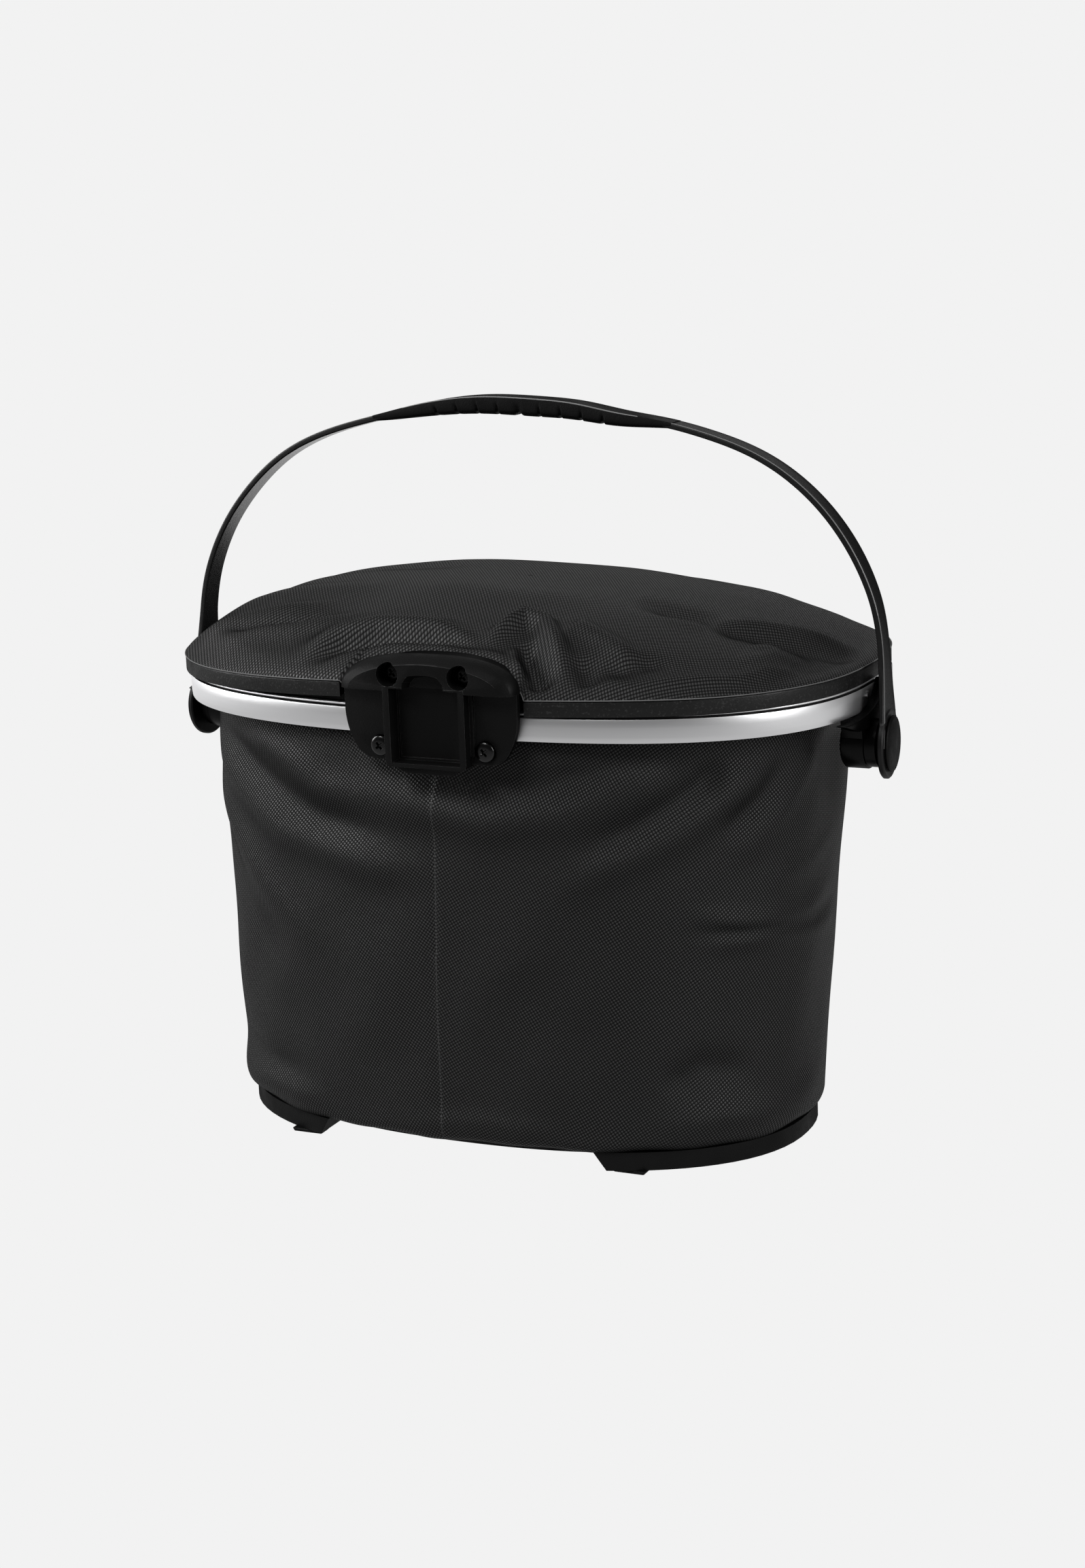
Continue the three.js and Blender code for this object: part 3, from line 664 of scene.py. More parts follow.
def bag_section(height):
    """Half-widths, near and far sides and power of the bag's oval at a height."""
    drop = float(np.clip((BAG_SHOULDER - height) / (BAG_SHOULDER - BAG_BASE), 0, 1))
    low, high = BAG_LOWER, BAG_UPPER
    mixed = {key: high[key] + (low[key] - high[key]) * drop for key in high}
    tuck = float(ramp(height, BAG_SHOULDER, BAG_NECK))
    half_depth = RIM_B - MOUTH_INSET
    mouth = dict(a=RIM_A - MOUTH_INSET, near=-half_depth, far=half_depth, power=RIM_POWER)
    return {key: mixed[key] + (mouth[key] - mixed[key]) * tuck for key in mixed}


def bag_rows():
    """(height, inward move) of each row, from the tucked top edge down the wall and round the hem."""
    rows = [(BAG_TOP, 0.0), (-11.0, 0.0), (BAG_NECK, 0.0), (-14.4, 0.0), (BAG_SHOULDER, 0.0)]
    hem = BAG_BASE + HEM_RADIUS
    rows += [(z, 0.0) for z in np.linspace(-17, hem + 1, 124)]
    for t in np.linspace(0, 90, 12):
        turn = math.radians(t)
        rows.append((hem - HEM_RADIUS * math.sin(turn), HEM_RADIUS * (1 - math.cos(turn))))
    return rows


def bag_points(cols=432):
    rows = bag_rows()
    points = np.zeros((len(rows), cols, 3))
    cloth = np.zeros((len(rows), cols + 1, 2))
    run = 0.0
    for i, (height, inset) in enumerate(rows):
        s = bag_section(height)
        centre = (s["near"] + s["far"]) / 2
        spots, normals, length = oval(cols, s["a"], (s["far"] - s["near"]) / 2, s["power"], centre)
        total = length[1] * cols
        along = np.where(length > total / 2, length - total, length)
        drop = (BAG_SHOULDER - height) / (BAG_SHOULDER - BAG_BASE)
        push = bag_relief(along, height, total)
        free = float(ramp(-height, -BAG_SHOULDER, -BAG_SHOULDER + 16))
        free *= float(ramp(height, BAG_BASE - 2, BAG_BASE + 9))
        points[i, :, :2] = spots + normals * (push * free - inset)[:, None]
        lean_here = BAG_LEAN + 1.3 * float(ramp(-height, 150, 225))
        points[i, :, 0] += lean_here * float(ramp(-height, 2, 14))
        points[i, :, 2] = height + hem_wave(along) * float(ramp(-height, 190, 226))
        if i:
            before = rows[i - 1]
            run += math.hypot(height - before[0], inset - before[1])
        cloth[i, :cols, 0] = along - SEAM_DRIFT * max(drop, 0)
        cloth[i, cols, 0] = -SEAM_DRIFT * max(drop, 0)
        cloth[i, :, 1] = -run
    return points, cloth


def bag_relief(along, height, total):
    """How far the cloth stands out of its plain tapered form, in millimetres."""
    heights = np.full(len(along), height)
    calm = 1 - 0.55 * ramp(np.abs(along), 150, 205)
    relief = FOLD_DEPTH * calm * strokes(along, heights, BAG_FOLDS)
    # the cloth bellies a little between rim and base, most on the long sides
    belly = math.sin(math.pi * float(np.clip((-height - 15) / 205, 0, 1)))
    relief += 0.8 * belly * (0.5 + np.cos(2 * np.pi * 2 * along / total))
    # slow unevenness
    relief += 0.45 * np.sin(along / 23 + height / 31) * np.sin(height / 27 - along / 61)
    relief += 0.25 * np.sin(along / 9.5 - height / 14 + 1.0)
    # the lapped seam: the right-hand panel lies over the left-hand one
    drop = (BAG_SHOULDER - height) / (BAG_SHOULDER - BAG_BASE)
    beside = along - SEAM_DRIFT * drop
    over, under = 0.55 * np.exp(-np.abs(beside) / 5), -0.35 * np.exp(-np.abs(beside) / 4)
    relief += np.where(beside >= 0, over, under)
    # drawn in beside each hub
    for middle, depth in ((total / 4 + 8, 4.0), (-total / 4 - 8, 1.0)):
        relief -= depth * np.exp(-(((along - middle) / 34) ** 2)) * np.exp(-(((height + 24) / 30) ** 2))
    return relief


def hem_wave(along):
    return 0.9 * np.sin(along / 19.0) * np.sin(along / 47.0 + 0.6) + 0.5 * np.sin(along / 7.3)


def bag():
    points, cloth = bag_points()
    cols = points.shape[1]
    obj = grid("bag_outer", points, closed_u=True, uv=cloth, flip=True)
    last = (points.shape[0] - 1) * cols
    fan_close(obj, list(range(last, last + cols)))
    thicken(obj, BAG_FABRIC, BAG_WALL)
    return finish_piece(obj, "basket", BAG_FABRIC, "bag_shell", slot="bag_fabric", edge=LINING)


# ---------------------------------------------------------------- the base
def base_outline(inset, count=96):
    half = (BAG_LOWER["far"] - BAG_LOWER["near"]) / 2
    centre = (BAG_LOWER["far"] + BAG_LOWER["near"]) / 2
    spots, normals, _ = oval(count, BAG_LOWER["a"], half, BAG_LOWER["power"], centre)
    return [tuple(p) for p in spots - normals * inset]


def base_plate():
    low, high = local_box("base_plate")
    web_inset, pod_start, slant = 14.0, 76.4, 7.5
    pods = prism("base_moulding", base_outline(3.6), low[2], high[2], axis="z")
    aside = BAG_LEAN - BASE_LEAN
    middle = [(aside - pod_start, high[2] + 1), (aside - pod_start - slant, low[2] - 1)]
    middle += [(aside + pod_start + slant, low[2] - 1), (aside + pod_start, high[2] + 1)]
    cut(pods, prism("tool", middle, -200, 200))
    web = prism("web", base_outline(web_inset), low[2] + 6, high[2] - 0.02, axis="z")
    cut(pods, web, operation="UNION")
    for side_name, _ in SIDES:
        for end_name in ("near", "far"):
            x, y, _ = sum(local_box(f"base_screw_{end_name}_{side_name}")) / 2
            cut(pods, rod("tool", SCREW_HOLE, (x, y, low[2] - 10), (x, y, high[2] + 10)))
    soften(pods, 0.9, 3)
    shift(pods, BASE_LEAN)
    return finish_piece(pods, "basket", PLASTIC, "base_plate", slot="plastic_matte")


def foot(name):
    """A low rounded pad under the base."""
    low, high = local_box(name)
    x0, x1, y0, y1 = low[0], high[0], low[1], high[1]
    side = [(x0, high[2] + 0.3), (x0 + 1.2, low[2]), (x1 - 1.2, low[2]), (x1, high[2] + 0.3)]
    obj = prism(name + "_pad", side, y0, y1)
    soften(obj, 0.7, 4)
    shift(obj, BAG_LEAN)
    return finish_piece(obj, "basket", PLASTIC, name, slot="rubber_black")


# ---------------------------------------------------------------- the lid
NOTCH = dict(half=51.0, back=15.0)
LID_SHIFT = -1.5  # the lid sits a touch towards -X
LID_FOLDS = [
    # the swollen arch over the receiver and the groove inside it
    ([(-84, -112), (-66, -100), (-44, -93), (-10, -92), (20, -98)], 7, 3.6),
    ([(-74, -118), (-58, -107), (-34, -101), (0, -100), (26, -106)], 4.5, -2.6),
    ([(-60, -114), (-28, -106), (2, -105), (32, -109), (52, -118)], 4, 1.6),
    # long ridges that start at the left-hand end
    ([(-170, -62), (-155, -80), (-117, -75), (-78, -62)], 8, 2.4),
    ([(-165, -70), (-130, -90), (-92, -92), (-46, -78)], 7, 2.2),
    ([(-150, -82), (-125, -88), (-96, -84), (-74, -76)], 4, -1.8),
    ([(-178, -30), (-140, -44), (-100, -40), (-60, -36)], 14, 1.6),
    # the pinch to the right of the receiver
    ([(20, -100), (25, -88), (32, -76), (45, -80), (60, -98), (72, -114)], 5.5, 4.6),
    ([(40, -94), (46, -104), (56, -114), (64, -120)], 6, -4.4),
    ([(36, -98), (42, -108), (50, -118)], 3.5, 2.2),
    ([(72, -98), (80, -108), (84, -116)], 6, -2.4),
    # the ridge beyond it
    ([(56, -70), (66, -78), (86, -87), (106, -96)], 7, 2.8),
    ([(78, -104), (95, -100), (104, -93), (118, -88)], 5, -1.6),
    ([(66, -118), (106, -110), (150, -84), (180, -40)], 5, 1.2),
    # the long valley and ridge on the right
    ([(70, -24), (96, -32), (130, -34), (163, -24), (192, -2)], 9, -2.6),
    ([(84, -44), (112, -38), (136, -18), (162, 2), (186, 14)], 8, 1.8),
    ([(150, -76), (156, -50), (146, -40)], 9, 1.8),
    ([(166, -58), (172, -40), (170, -24)], 6, -1.0),
    # slack over the crown and the far side
    ([(-60, -30), (0, -44), (60, -38)], 16, 1.0),
    ([(-120, 40), (-60, 64), (20, 70), (90, 52)], 18, 0.6),
    ([(-150, 20), (-100, 30), (-40, 26)], 14, -1.0),
    ([(40, 96), (90, 82), (140, 50)], 10, 0.8),
]


def lid_lift(spots):
    """The rim strip stands off the frame left of the receiver and sags a little right of it."""
    x, near = spots[:, 0], ramp(-spots[:, 1], 60, 110)
    left = 3.4 * np.clip((x + 165) / 115, 0, 1) ** 1.3 * (x < 0)
    right = (-0.5 - 1.4 * np.exp(-np.clip(x - 50, 0, 200) / 35)) * ramp(x, 20, 50)
    return near * (left + right)


def lid_surface(x, y):
    """Height of the cover over a spot: a dome, flatter towards +X, with its folds."""
    share = ((np.abs(x) / LID_A) ** RIM_POWER + (np.abs(y) / LID_B) ** RIM_POWER) ** (1 / RIM_POWER)
    share = np.clip(share, 0, 1)
    base = LID_EDGE + 0.2
    right = ramp(x, -60, 180)
    top = (LID_CROWN - 1.0) * (1 - 0.145 * right)
    dome = (1 - share ** (2.6 - 0.2 * right)) ** (0.75 + 0.10 * right)
    height = base + (top - base) * dome
    free = ramp(1 - share, 0.0, 0.07)
    height += 1.7 * strokes(x, y, LID_FOLDS) * free
    height += 3.2 * free * np.exp(-(((x + 132) / 34) ** 2))
    height -= 2.4 * free * np.exp(-(((x - 180) / 22) ** 2))
    height += 0.35 * free * np.sin(x / 21 + y / 33) * np.sin(y / 17 - x / 57)
    return height


def lid_cover():
    rings, cols = 92, 720
    spots, _, _ = oval(cols, LID_A, LID_B, RIM_POWER)
    shares = 1 - np.linspace(0, 1, rings) ** 1.25 * 0.992
    points = np.zeros((rings, cols, 3))
    cloth = np.zeros((rings, cols + 1, 2))
    lift = lid_lift(spots)
    from_middle = np.abs(spots[:, 0] - RECEIVER_X)
    cut_back = NOTCH["back"] * np.clip(1 - (from_middle / NOTCH["half"]) ** 2.2, 0, 1)
    cut_back *= spots[:, 1] < 0
    for i, share in enumerate(shares):
        x, y = spots[:, 0] * share, spots[:, 1] * share
        y = y + cut_back * float(ramp(share, 0.7, 1.0))
        points[i, :, 0] = x
        points[i, :, 1] = y
        points[i, :, 2] = lid_surface(x, y) + lift * ramp(share, 0.8, 1) * (cut_back < 0.01)
        cloth[i, :cols, 0], cloth[i, :cols, 1] = x + 500, y
        cloth[i, cols] = cloth[i, 0]
    obj = grid("lid_fabric_cover", points, closed_u=True, uv=cloth)
    last = (rings - 1) * cols
    fan_close(obj, list(range(last, last + cols)))
    shift(thicken(obj, LID_FABRIC, LID_WALL), LID_SHIFT)
    finish_piece(obj, "lid", LID_FABRIC, "lid_cover", slot="bag_fabric", edge=LINING)
    return points[0]


def lid_edge(edge):
    """A thin bound edge where the cover meets the rim strip, following the cover's outline."""
    cols = len(edge)
    ahead, behind = np.roll(edge, -1, 0), np.roll(edge, 1, 0)
    along = ahead - behind
    along /= np.linalg.norm(along, axis=1)[:, None]
    up = np.array([0, 0, 1.0])
    out = np.cross(along, up)
    out /= np.linalg.norm(out, axis=1)[:, None]
    lift = np.cross(out, along)
    steps = 8
    points = np.zeros((steps, cols, 3))
    for i in range(steps):
        t = 2 * math.pi * i / steps
        points[i] = edge + 0.35 * math.cos(t) * out + 0.32 * math.sin(t) * lift + up * 0.1
    obj = grid("lid_edge_binding", points, closed_u=True, closed_v=True)
    tidy(obj, 80)
    shift(obj, LID_SHIFT)
    return finish_piece(obj, "lid", EDGE_CORD, slot="bag_fabric")


def clear_of_receiver(spots):
    return (np.abs(spots[:, 0] - RECEIVER_X) > NOTCH["half"] - 1) | (spots[:, 1] > 0)


def lid_rim():
    """The strip: a soft-edged skirt that hangs just outside the frame's bead."""
    high, skirt, inner = LID_EDGE, 1.7, LID_RIM_LOW[2]
    out = LID_A - RIM_A
    section = [(out - 6, inner), (out - 0.95, inner), (out - 0.95, skirt), (out - 0.6, skirt)]
    section += arc((out - 0.6, skirt + 0.6), 0.6, -60, 0, 4)
    section += [(out, (skirt + high) / 2)]
    section += arc((out - 1.0, high - 1.0), 1.0, 0, 90, 5)
    section += [(out - 6, high)]
    obj = oval_ring("lid_rim_strip", section, 420, lift=lid_lift, keep=clear_of_receiver)
    shift(obj, LID_SHIFT)
    return finish_piece(obj, "lid", RIM_PLASTIC, "lid_rim", slot="plastic_matte")


def lid_lip():
    """The recessed lip under the strip, seen where the strip stands off the frame."""
    low, high = local_box("lid_lip")
    section = [(-12.5, low[2]), (-10.4, low[2]), (-10, low[2] + 0.4), (-10, BEAD + 0.5)]
    section += [(-2.8, BEAD + 0.5), (-2.4, BEAD + 0.9), (-2.4, 6.5), (-12.5, 6.5)]
    obj = oval_ring("lid_recessed_lip", section, 320, keep=clear_of_receiver)
    return finish_piece(obj, "lid", RUBBER, "lid_lip", slot="rubber_black")


# ---------------------------------------------------------------- the receiver
SEAT_HALF, SEAT_TOP, SEAT_BOTTOM, RIB = 19.2, 13.6, -24.4, 3.3
CAP_BOTTOM = 12.4
UPPER_SCREW = dict(x=19.6, z=20.4)
LOWER_SCREW = dict(x=30.0, z=-17.4)
LEFT_LOWER_SHIFT = 1.6  # the lower left screw stands nearer its rib
WING_HALF = 48.0
BACK = -(RIM_B + 0.4)
WING = BACK - 3.2
FACE = CAP_LOW[1]
CAP_FACE = FACE + 0.2


def mirrored(half):
    """A closed outline from its right-hand half, listed from the bottom up."""
    left = [(-x, z) for x, z in reversed(half)]
    return half + left


def wing_outline():
    low, tab_bottom = -24.6, CAP_LOW[2]
    half = [(12.5, tab_bottom), (15.0, tab_bottom + 1.6), (19.0, low), (28, low)]
    half += curve_points((31, low), (37, low + 0.4), (40.5, -21), steps=6)
    half += curve_points((41, -20.4), (47.4, -12), (WING_HALF, 0), steps=9)
    half += [(WING_HALF, CAP_BOTTOM + 3)]
    return mirrored(half)


def cap_outline(half_width, top, power, bottom, steps=26):
    """The cap seen from the front: a flat arch with rounded shoulders."""
    half = []
    for t in np.linspace(0, math.pi / 2, steps):
        x = half_width * max(math.cos(t), 0) ** (2 / power)
        half.append((x, bottom + (top - bottom) * math.sin(t) ** (2 / power)))
    half[-1] = (0.0, top)
    return half + [(-x, z) for x, z in reversed(half[:-1])]


def cap_body():
    """The cap, lofted from front to back: a flat face, sloped shoulders, a ridge and a rolled top."""
    top = CAP_HIGH[2]
    layers = [
        (CAP_FACE, 41.7, top - 3.9, 2.05),
        (CAP_FACE + 0.25, 42.2, top - 3.6, 2.06),
        (CAP_FACE + 2.2, 46.6, top - 3.0, 2.3),
        (CAP_FACE + 2.9, 47.2, top - 2.5, 2.34),
        (CAP_FACE + 4.4, 47.9, top - 1.5, 2.4),
        (CAP_FACE + 6.6, 48.4, top - 0.6, 2.46),
        (CAP_FACE + 9.0, 48.5, top, 2.5),
        (BACK, 48.5, top, 2.5),
    ]
    outlines = [cap_outline(half, high, power, CAP_BOTTOM) for _, half, high, power in layers]
    count = len(outlines[0])
    points = []
    for layer, outline in zip(layers, outlines):
        points += [(x, layer[0], z) for x, z in outline]
    faces = [list(range(count))[::-1]]
    for layer in range(len(layers) - 1):
        for i in range(count):
            j = (i + 1) % count
            a, b = layer * count, (layer + 1) * count
            faces.append([a + i, a + j, b + j, b + i])
    faces.append(list(range((len(layers) - 1) * count, len(layers) * count)))
    return tidy(new_object("cap", points, faces))


def scoop():
    """The finger scoop in the cap's lower edge: deepest at the front, closing towards the back."""
    front = [(12.8, CAP_BOTTOM - 2), (11.8, 17.4), (8.8, 21.0), (4.0, 21.7), (0, 21.8)]
    rear = [(10.6, CAP_BOTTOM - 2), (9.6, 15.8), (6.8, 18.4), (3.0, 18.9), (0, 19.0)]
    rings = [(CAP_FACE - 2.5, front), (CAP_FACE + 6, rear)]
    points = []
    for y, half in rings:
        outline = half + [(-x, z) for x, z in reversed(half[:-1])]
        points += [(x, y, z) for x, z in outline]
    count = len(points) // 2
    faces = [list(range(count))[::-1], list(range(count, 2 * count))]
    for i in range(count):
        j = (i + 1) % count
        faces.append([i, j, j + count, i + count])
    return tidy(new_object("tool", points, faces))


def seat_block():
    """The pocket's walls: two ribs and a sill, with a lower step outside each rib and an apron below."""
    outer = SEAT_HALF + RIB
    low = SEAT_BOTTOM - RIB + 1.3
    wall = [(-outer, CAP_BOTTOM + 2), (-outer, low + 2.5), (-outer + 0.8, low + 0.8), (-outer + 2.5, low)]
    wall += [(-x, z) for x, z in reversed(wall)]
    block = prism("seat", wall, FACE, BACK - 0.5)
    wide = outer + 1.9
    step = [(-wide, CAP_BOTTOM + 2), (-wide, -20), (wide, -20), (wide, CAP_BOTTOM + 2)]
    cut(block, prism("tool", step, WING - 1.6, BACK - 0.5), operation="UNION")
    foot_of_it = CAP_LOW[2] + 0.3
    apron = [(-outer + 2, low + 1), (-12.8, foot_of_it), (12.8, foot_of_it), (outer - 2, low + 1)]
    cut(block, prism("tool", apron, FACE + 2.4, BACK - 0.5), operation="UNION")
    return block


def pocket(inset):
    """The seat's outline, moved in at the sides and the bottom."""
    half, low = SEAT_HALF - inset, SEAT_BOTTOM + inset
    return [(-half, low), (half, low), (half, SEAT_TOP), (-half, SEAT_TOP)]


def receiver():
    body = prism("receiver_moulding", wing_outline(), WING, BACK)
    cut(body, cap_body(), operation="UNION")
    rear = prism("tool", cap_outline(47.5, CAP_HIGH[2] - 1.2, 2.5, BEAD + 0.5), BACK - 1, CAP_HIGH[1])
    cut(body, rear, seat_block(), operation="UNION")
    floor, inset = BACK - 0.7, 1.2
    cut(body, prism("tool", pocket(0), FACE - 8, floor - 1.1))
    cut(body, prism("tool", pocket(inset), floor - 3, floor), scoop())
    for side in (-1, 1):
        x, z = side * UPPER_SCREW["x"], UPPER_SCREW["z"]
        cut(body, rod("tool", 6.1, (x, CAP_FACE - 4, z), (x, WING + 1.6, z), 56))
        cut(body, rod("tool", SCREW_HOLE, (x, WING - 6, z), (x, -100, z), 24))
        x, z = side * LOWER_SCREW["x"] + (LEFT_LOWER_SHIFT if side < 0 else 0), LOWER_SCREW["z"]
        cut(body, rod("tool", 5.6, (x, WING - 12, z), (x, WING + 0.5, z), 56))
        cut(body, rod("tool", SCREW_HOLE, (x, WING - 6, z), (x, -100, z), 24))
    tidy(body)
    # painted highlight: the rounded edges take the lighter edge plastic
    soften(body, 0.5, 3, 30, edge=PLASTIC_EDGE_HIGHLIGHT)
    shift(body, RECEIVER_X)
    return finish_piece(body, "basket", PLASTIC, "receiver_plate", slot="plastic_matte", edge=PLASTIC_EDGE_HIGHLIGHT)


UPPER_DEPTH = 3.2  # how much deeper the upper screws sit in their holes than the CAD nodes


def pan_screw(node):
    """A pan-head screw with a cross recess in the place and size of its CAD node, head towards -Y."""
    low, high = local_box(node)
    x, z = (low[0] + high[0]) / 2, (low[2] + high[2]) / 2
    radius = (high[2] - low[2]) / 2 * 1.15
    head, recess_turn = 2.5, 38
    under = low[1] + head
    profile = [(high[1], 0.0), (high[1], 1.5), (high[1] - 0.5, 2.0), (under, 2.0), (under, radius - 0.15)]
    profile += [(under - 0.15, radius), (under - 0.9, radius)]
    for t in np.linspace(15, 90, 8):
        turn = math.radians(t)
        profile.append((under - 0.9 - (head - 0.9) * math.sin(turn), radius * math.cos(turn) ** 0.6))
    profile[-1] = (low[1], 0.0)
    steps = 40
    angle = np.linspace(0, 2 * np.pi, steps, endpoint=False)
    points = np.zeros((len(profile), steps, 3))
    for row, (y, r) in enumerate(profile):
        points[row] = np.stack([x + r * np.cos(angle), np.full(steps, y), z + r * np.sin(angle)], 1)
    obj = tidy(grid(node + "_piece", points, closed_u=True))
    for turn in (0, 90):
        cut(obj, screw_slot(x, z, low[1], turn + recess_turn))
    soften(obj, 0.12, 2, 35)
    upper = "upper" in node
    across = RECEIVER_X + (LEFT_LOWER_SHIFT if node.endswith("lower_left") else 0)
    shift(obj, across, UPPER_DEPTH if upper else 0)
    return finish_piece(obj, "basket", DARK_SCREW if upper else BLACK_SCREW, node, slot="screw_black")


def screw_slot(x, z, face, turn):
    t = math.radians(turn)
    points = []
    for depth, length, width in ((-0.5, 2.6, 0.62), (1.9, 1.2, 0.42)):
        for p, q in ((-length, -width), (length, -width), (length, width), (-length, width)):
            px, pz = p * math.cos(t) - q * math.sin(t), p * math.sin(t) + q * math.cos(t)
            points.append((x + px, face + depth, z + pz))
    faces = [[0, 1, 2, 3], [7, 6, 5, 4]] + [[i, i + 4, (i + 1) % 4 + 4, (i + 1) % 4] for i in range(4)]
    return tidy(new_object("tool", points, faces))


# ---------------------------------------------------------------- the hubs and the handle
HUB_OUTER = 197.3
TOE = math.radians(5)  # the handle's ends are turned out a little towards the handlebar
HUB_INNER = local_box("hub_bracket_right")[0][0]


def near_the_end(spots, side):
    return (spots[:, 0] * side > 150) & (np.abs(spots[:, 1]) < 70)


def hub_bracket(side, name):
    """A stepped barrel under the rim's end, and a saddle that sweeps up the frame's outer face."""
    r = 13.5
    outer = HUB_OUTER + side * HANDLE_SHIFT
    profile = [(HUB_INNER, 0.0), (HUB_INNER, r - 1.0), (HUB_INNER + 1.0, r), (191.6, r), (192.0, r - 0.2)]
    profile += [(192.3, r - 1.0), (outer - 0.6, r - 1.0), (outer, r - 1.6), (outer, PIVOT_BORE)]
    profile += [(HUB_INNER + 5, PIVOT_BORE), (HUB_INNER + 5, 0.0)]
    body = lathe_x(name + "_moulding", profile, side, PIVOT_Y, PIVOT_Z, 80)
    section = [(0.3, -19), (5.2, -19), (5.2, 1.2), (4.4, 2.0), (0.3, 2.0)]
    saddle = oval_ring("saddle", section, 720, keep=lambda spots: near_the_end(spots, side))
    near = curve_points((-46, -14.0), (-26, -13.6), (-13, -9.5), steps=8)
    near += curve_points((-13, -9.5), (-4, -6.5), (1, 2.6), steps=8)[1:]
    far = curve_points((3, 2.6), (7, -8), (14, -14.5), steps=8)
    outline = near + far + [(22, -20), (-30, -20)]
    x0, x1 = sorted((side * 150, side * 215))
    cut(saddle, prism("tool", outline, x0, x1, axis="x"), operation="INTERSECT")
    under = RIM_BOTTOM - 0.3
    bridge = [(PIVOT_Y + y, z) for y, z in ((-15, -24), (-17, under), (17, under), (15, -24))]
    x0, x1 = sorted((side * (HUB_INNER + 2), side * 192.5))
    cut(body, saddle, prism("tool", bridge, x0, x1, axis="x"), operation="UNION")
    tidy(body)
    soften(body, 0.6, 3, 35)
    return finish_piece(body, "basket", GLOSS, name, slot="plastic_gloss")


def bracket_screw(side, name):
    """The screw inside the frame that draws the bracket on."""
    low, high = local_box(name)
    y, z = (low[1] + high[1]) / 2, (low[2] + high[2]) / 2
    profile = [(183.5, 0.0), (183.5, 2.6), (184.2, 3.5), (185.8, 3.7)]
    profile += [(185.8, 1.9), (191.0, 1.9), (191.0, 0.0)]
    obj = lathe_x(name + "_piece", profile, side, y, z, 40)
    return finish_piece(obj, "basket", ZINC, name, slot="screw_zinc")


def pivot_washer(side, name):
    low, high = local_box(name)
    radius = (high[2] - low[2]) / 2
    start = HUB_OUTER + side * HANDLE_SHIFT + 0.1
    profile = [(start, 4.4), (start, radius), (start + 0.4, radius), (start + 0.4, 4.4), (start, 4.4)]
    obj = lathe_x(name + "_ring", profile, side, PIVOT_Y, PIVOT_Z, 64)
    return finish_piece(obj, "basket", PLASTIC, name, slot="plastic_matte")


def pivot_bolt(side, name):
    """The bolt the handle turns on, with its head in the disc's bore."""
    profile = [(HUB_INNER + 5.3, 0.0), (HUB_INNER + 5.3, 4.0), (DISC_OUT - 0.4, 4.0), (DISC_OUT, 3.6)]
    profile.append((DISC_OUT, 0.0))
    obj = lathe_x(name + "_piece", profile, side, PIVOT_Y, PIVOT_Z, 48)
    return finish_piece(obj, "basket", ZINC, name, slot="screw_zinc")


def clamp_plate():
    """The plate behind the cap that grips the frame, hidden inside the cap's outline."""
    low, high = local_box("receiver_clamp_plate")
    outline = cap_outline(40, min(high[2], CAP_HIGH[2] - 4), 2.5, BEAD + 1)
    obj = prism("receiver_clamp", outline, max(low[1], BACK + 4), high[1])
    soften(obj, 0.6, 2, 30)
    return finish_piece(obj, "basket", PLASTIC, "receiver_clamp_plate", slot="plastic_matte")


def toe_out(obj, side, middle):
    """Turns a pivot piece about the upright through its middle, its near edge outwards."""
    place = Vector(to_metres((side * middle, PIVOT_Y, PIVOT_Z)))
    turn = Matrix.Rotation(side * TOE, 4, "Z")
    obj.data.transform(Matrix.Translation(place) @ turn @ Matrix.Translation(-place))
    return obj


def hub_cap(side, name):
    x = DISC_OUT + 0.2
    r = 14.5
    profile = [(x + 2.2, 0.0), (x + 2.2, 8.0), (x, 8.0), (x, r - 0.4), (x + 0.4, r)]
    profile += [(x + 0.9, r), (x + 1.5, r - 0.5), (x + 1.8, r - 1.4), (x + 1.75, r - 2.0)]
    profile += [(x + 2.1, r - 3.6), (x + 2.4, 6.0), (x + 2.5, 0.0)]
    obj = lathe_x(name + "_disc", profile, side, PIVOT_Y, PIVOT_Z, 80)
    toe_out(obj, side, DISC_OUT)
    shift(obj, HANDLE_SHIFT)
    return finish_piece(obj, "handle", PLASTIC, name, slot="plastic_gloss")


def lean(points):
    """Leans points drawn upright about the pivot axis by the handle's rest tilt."""
    points = np.asarray(points, float).copy()
    y, z = points[..., 1].copy(), points[..., 2].copy()
    c, s = math.cos(BOW_TILT), math.sin(BOW_TILT)
    points[..., 1] = PIVOT_Y + y * c + z * s
    points[..., 2] = PIVOT_Z - y * s + z * c
    return points


# The strip isn't quite even: (place along X, half width, height) of each slow wave in it
BOW_WAVES = [(-168, 20, -1.4), (-82, 26, -0.8), (-20, 28, 1.1), (56, 22, -2.2), (136, 36, 1.6)]


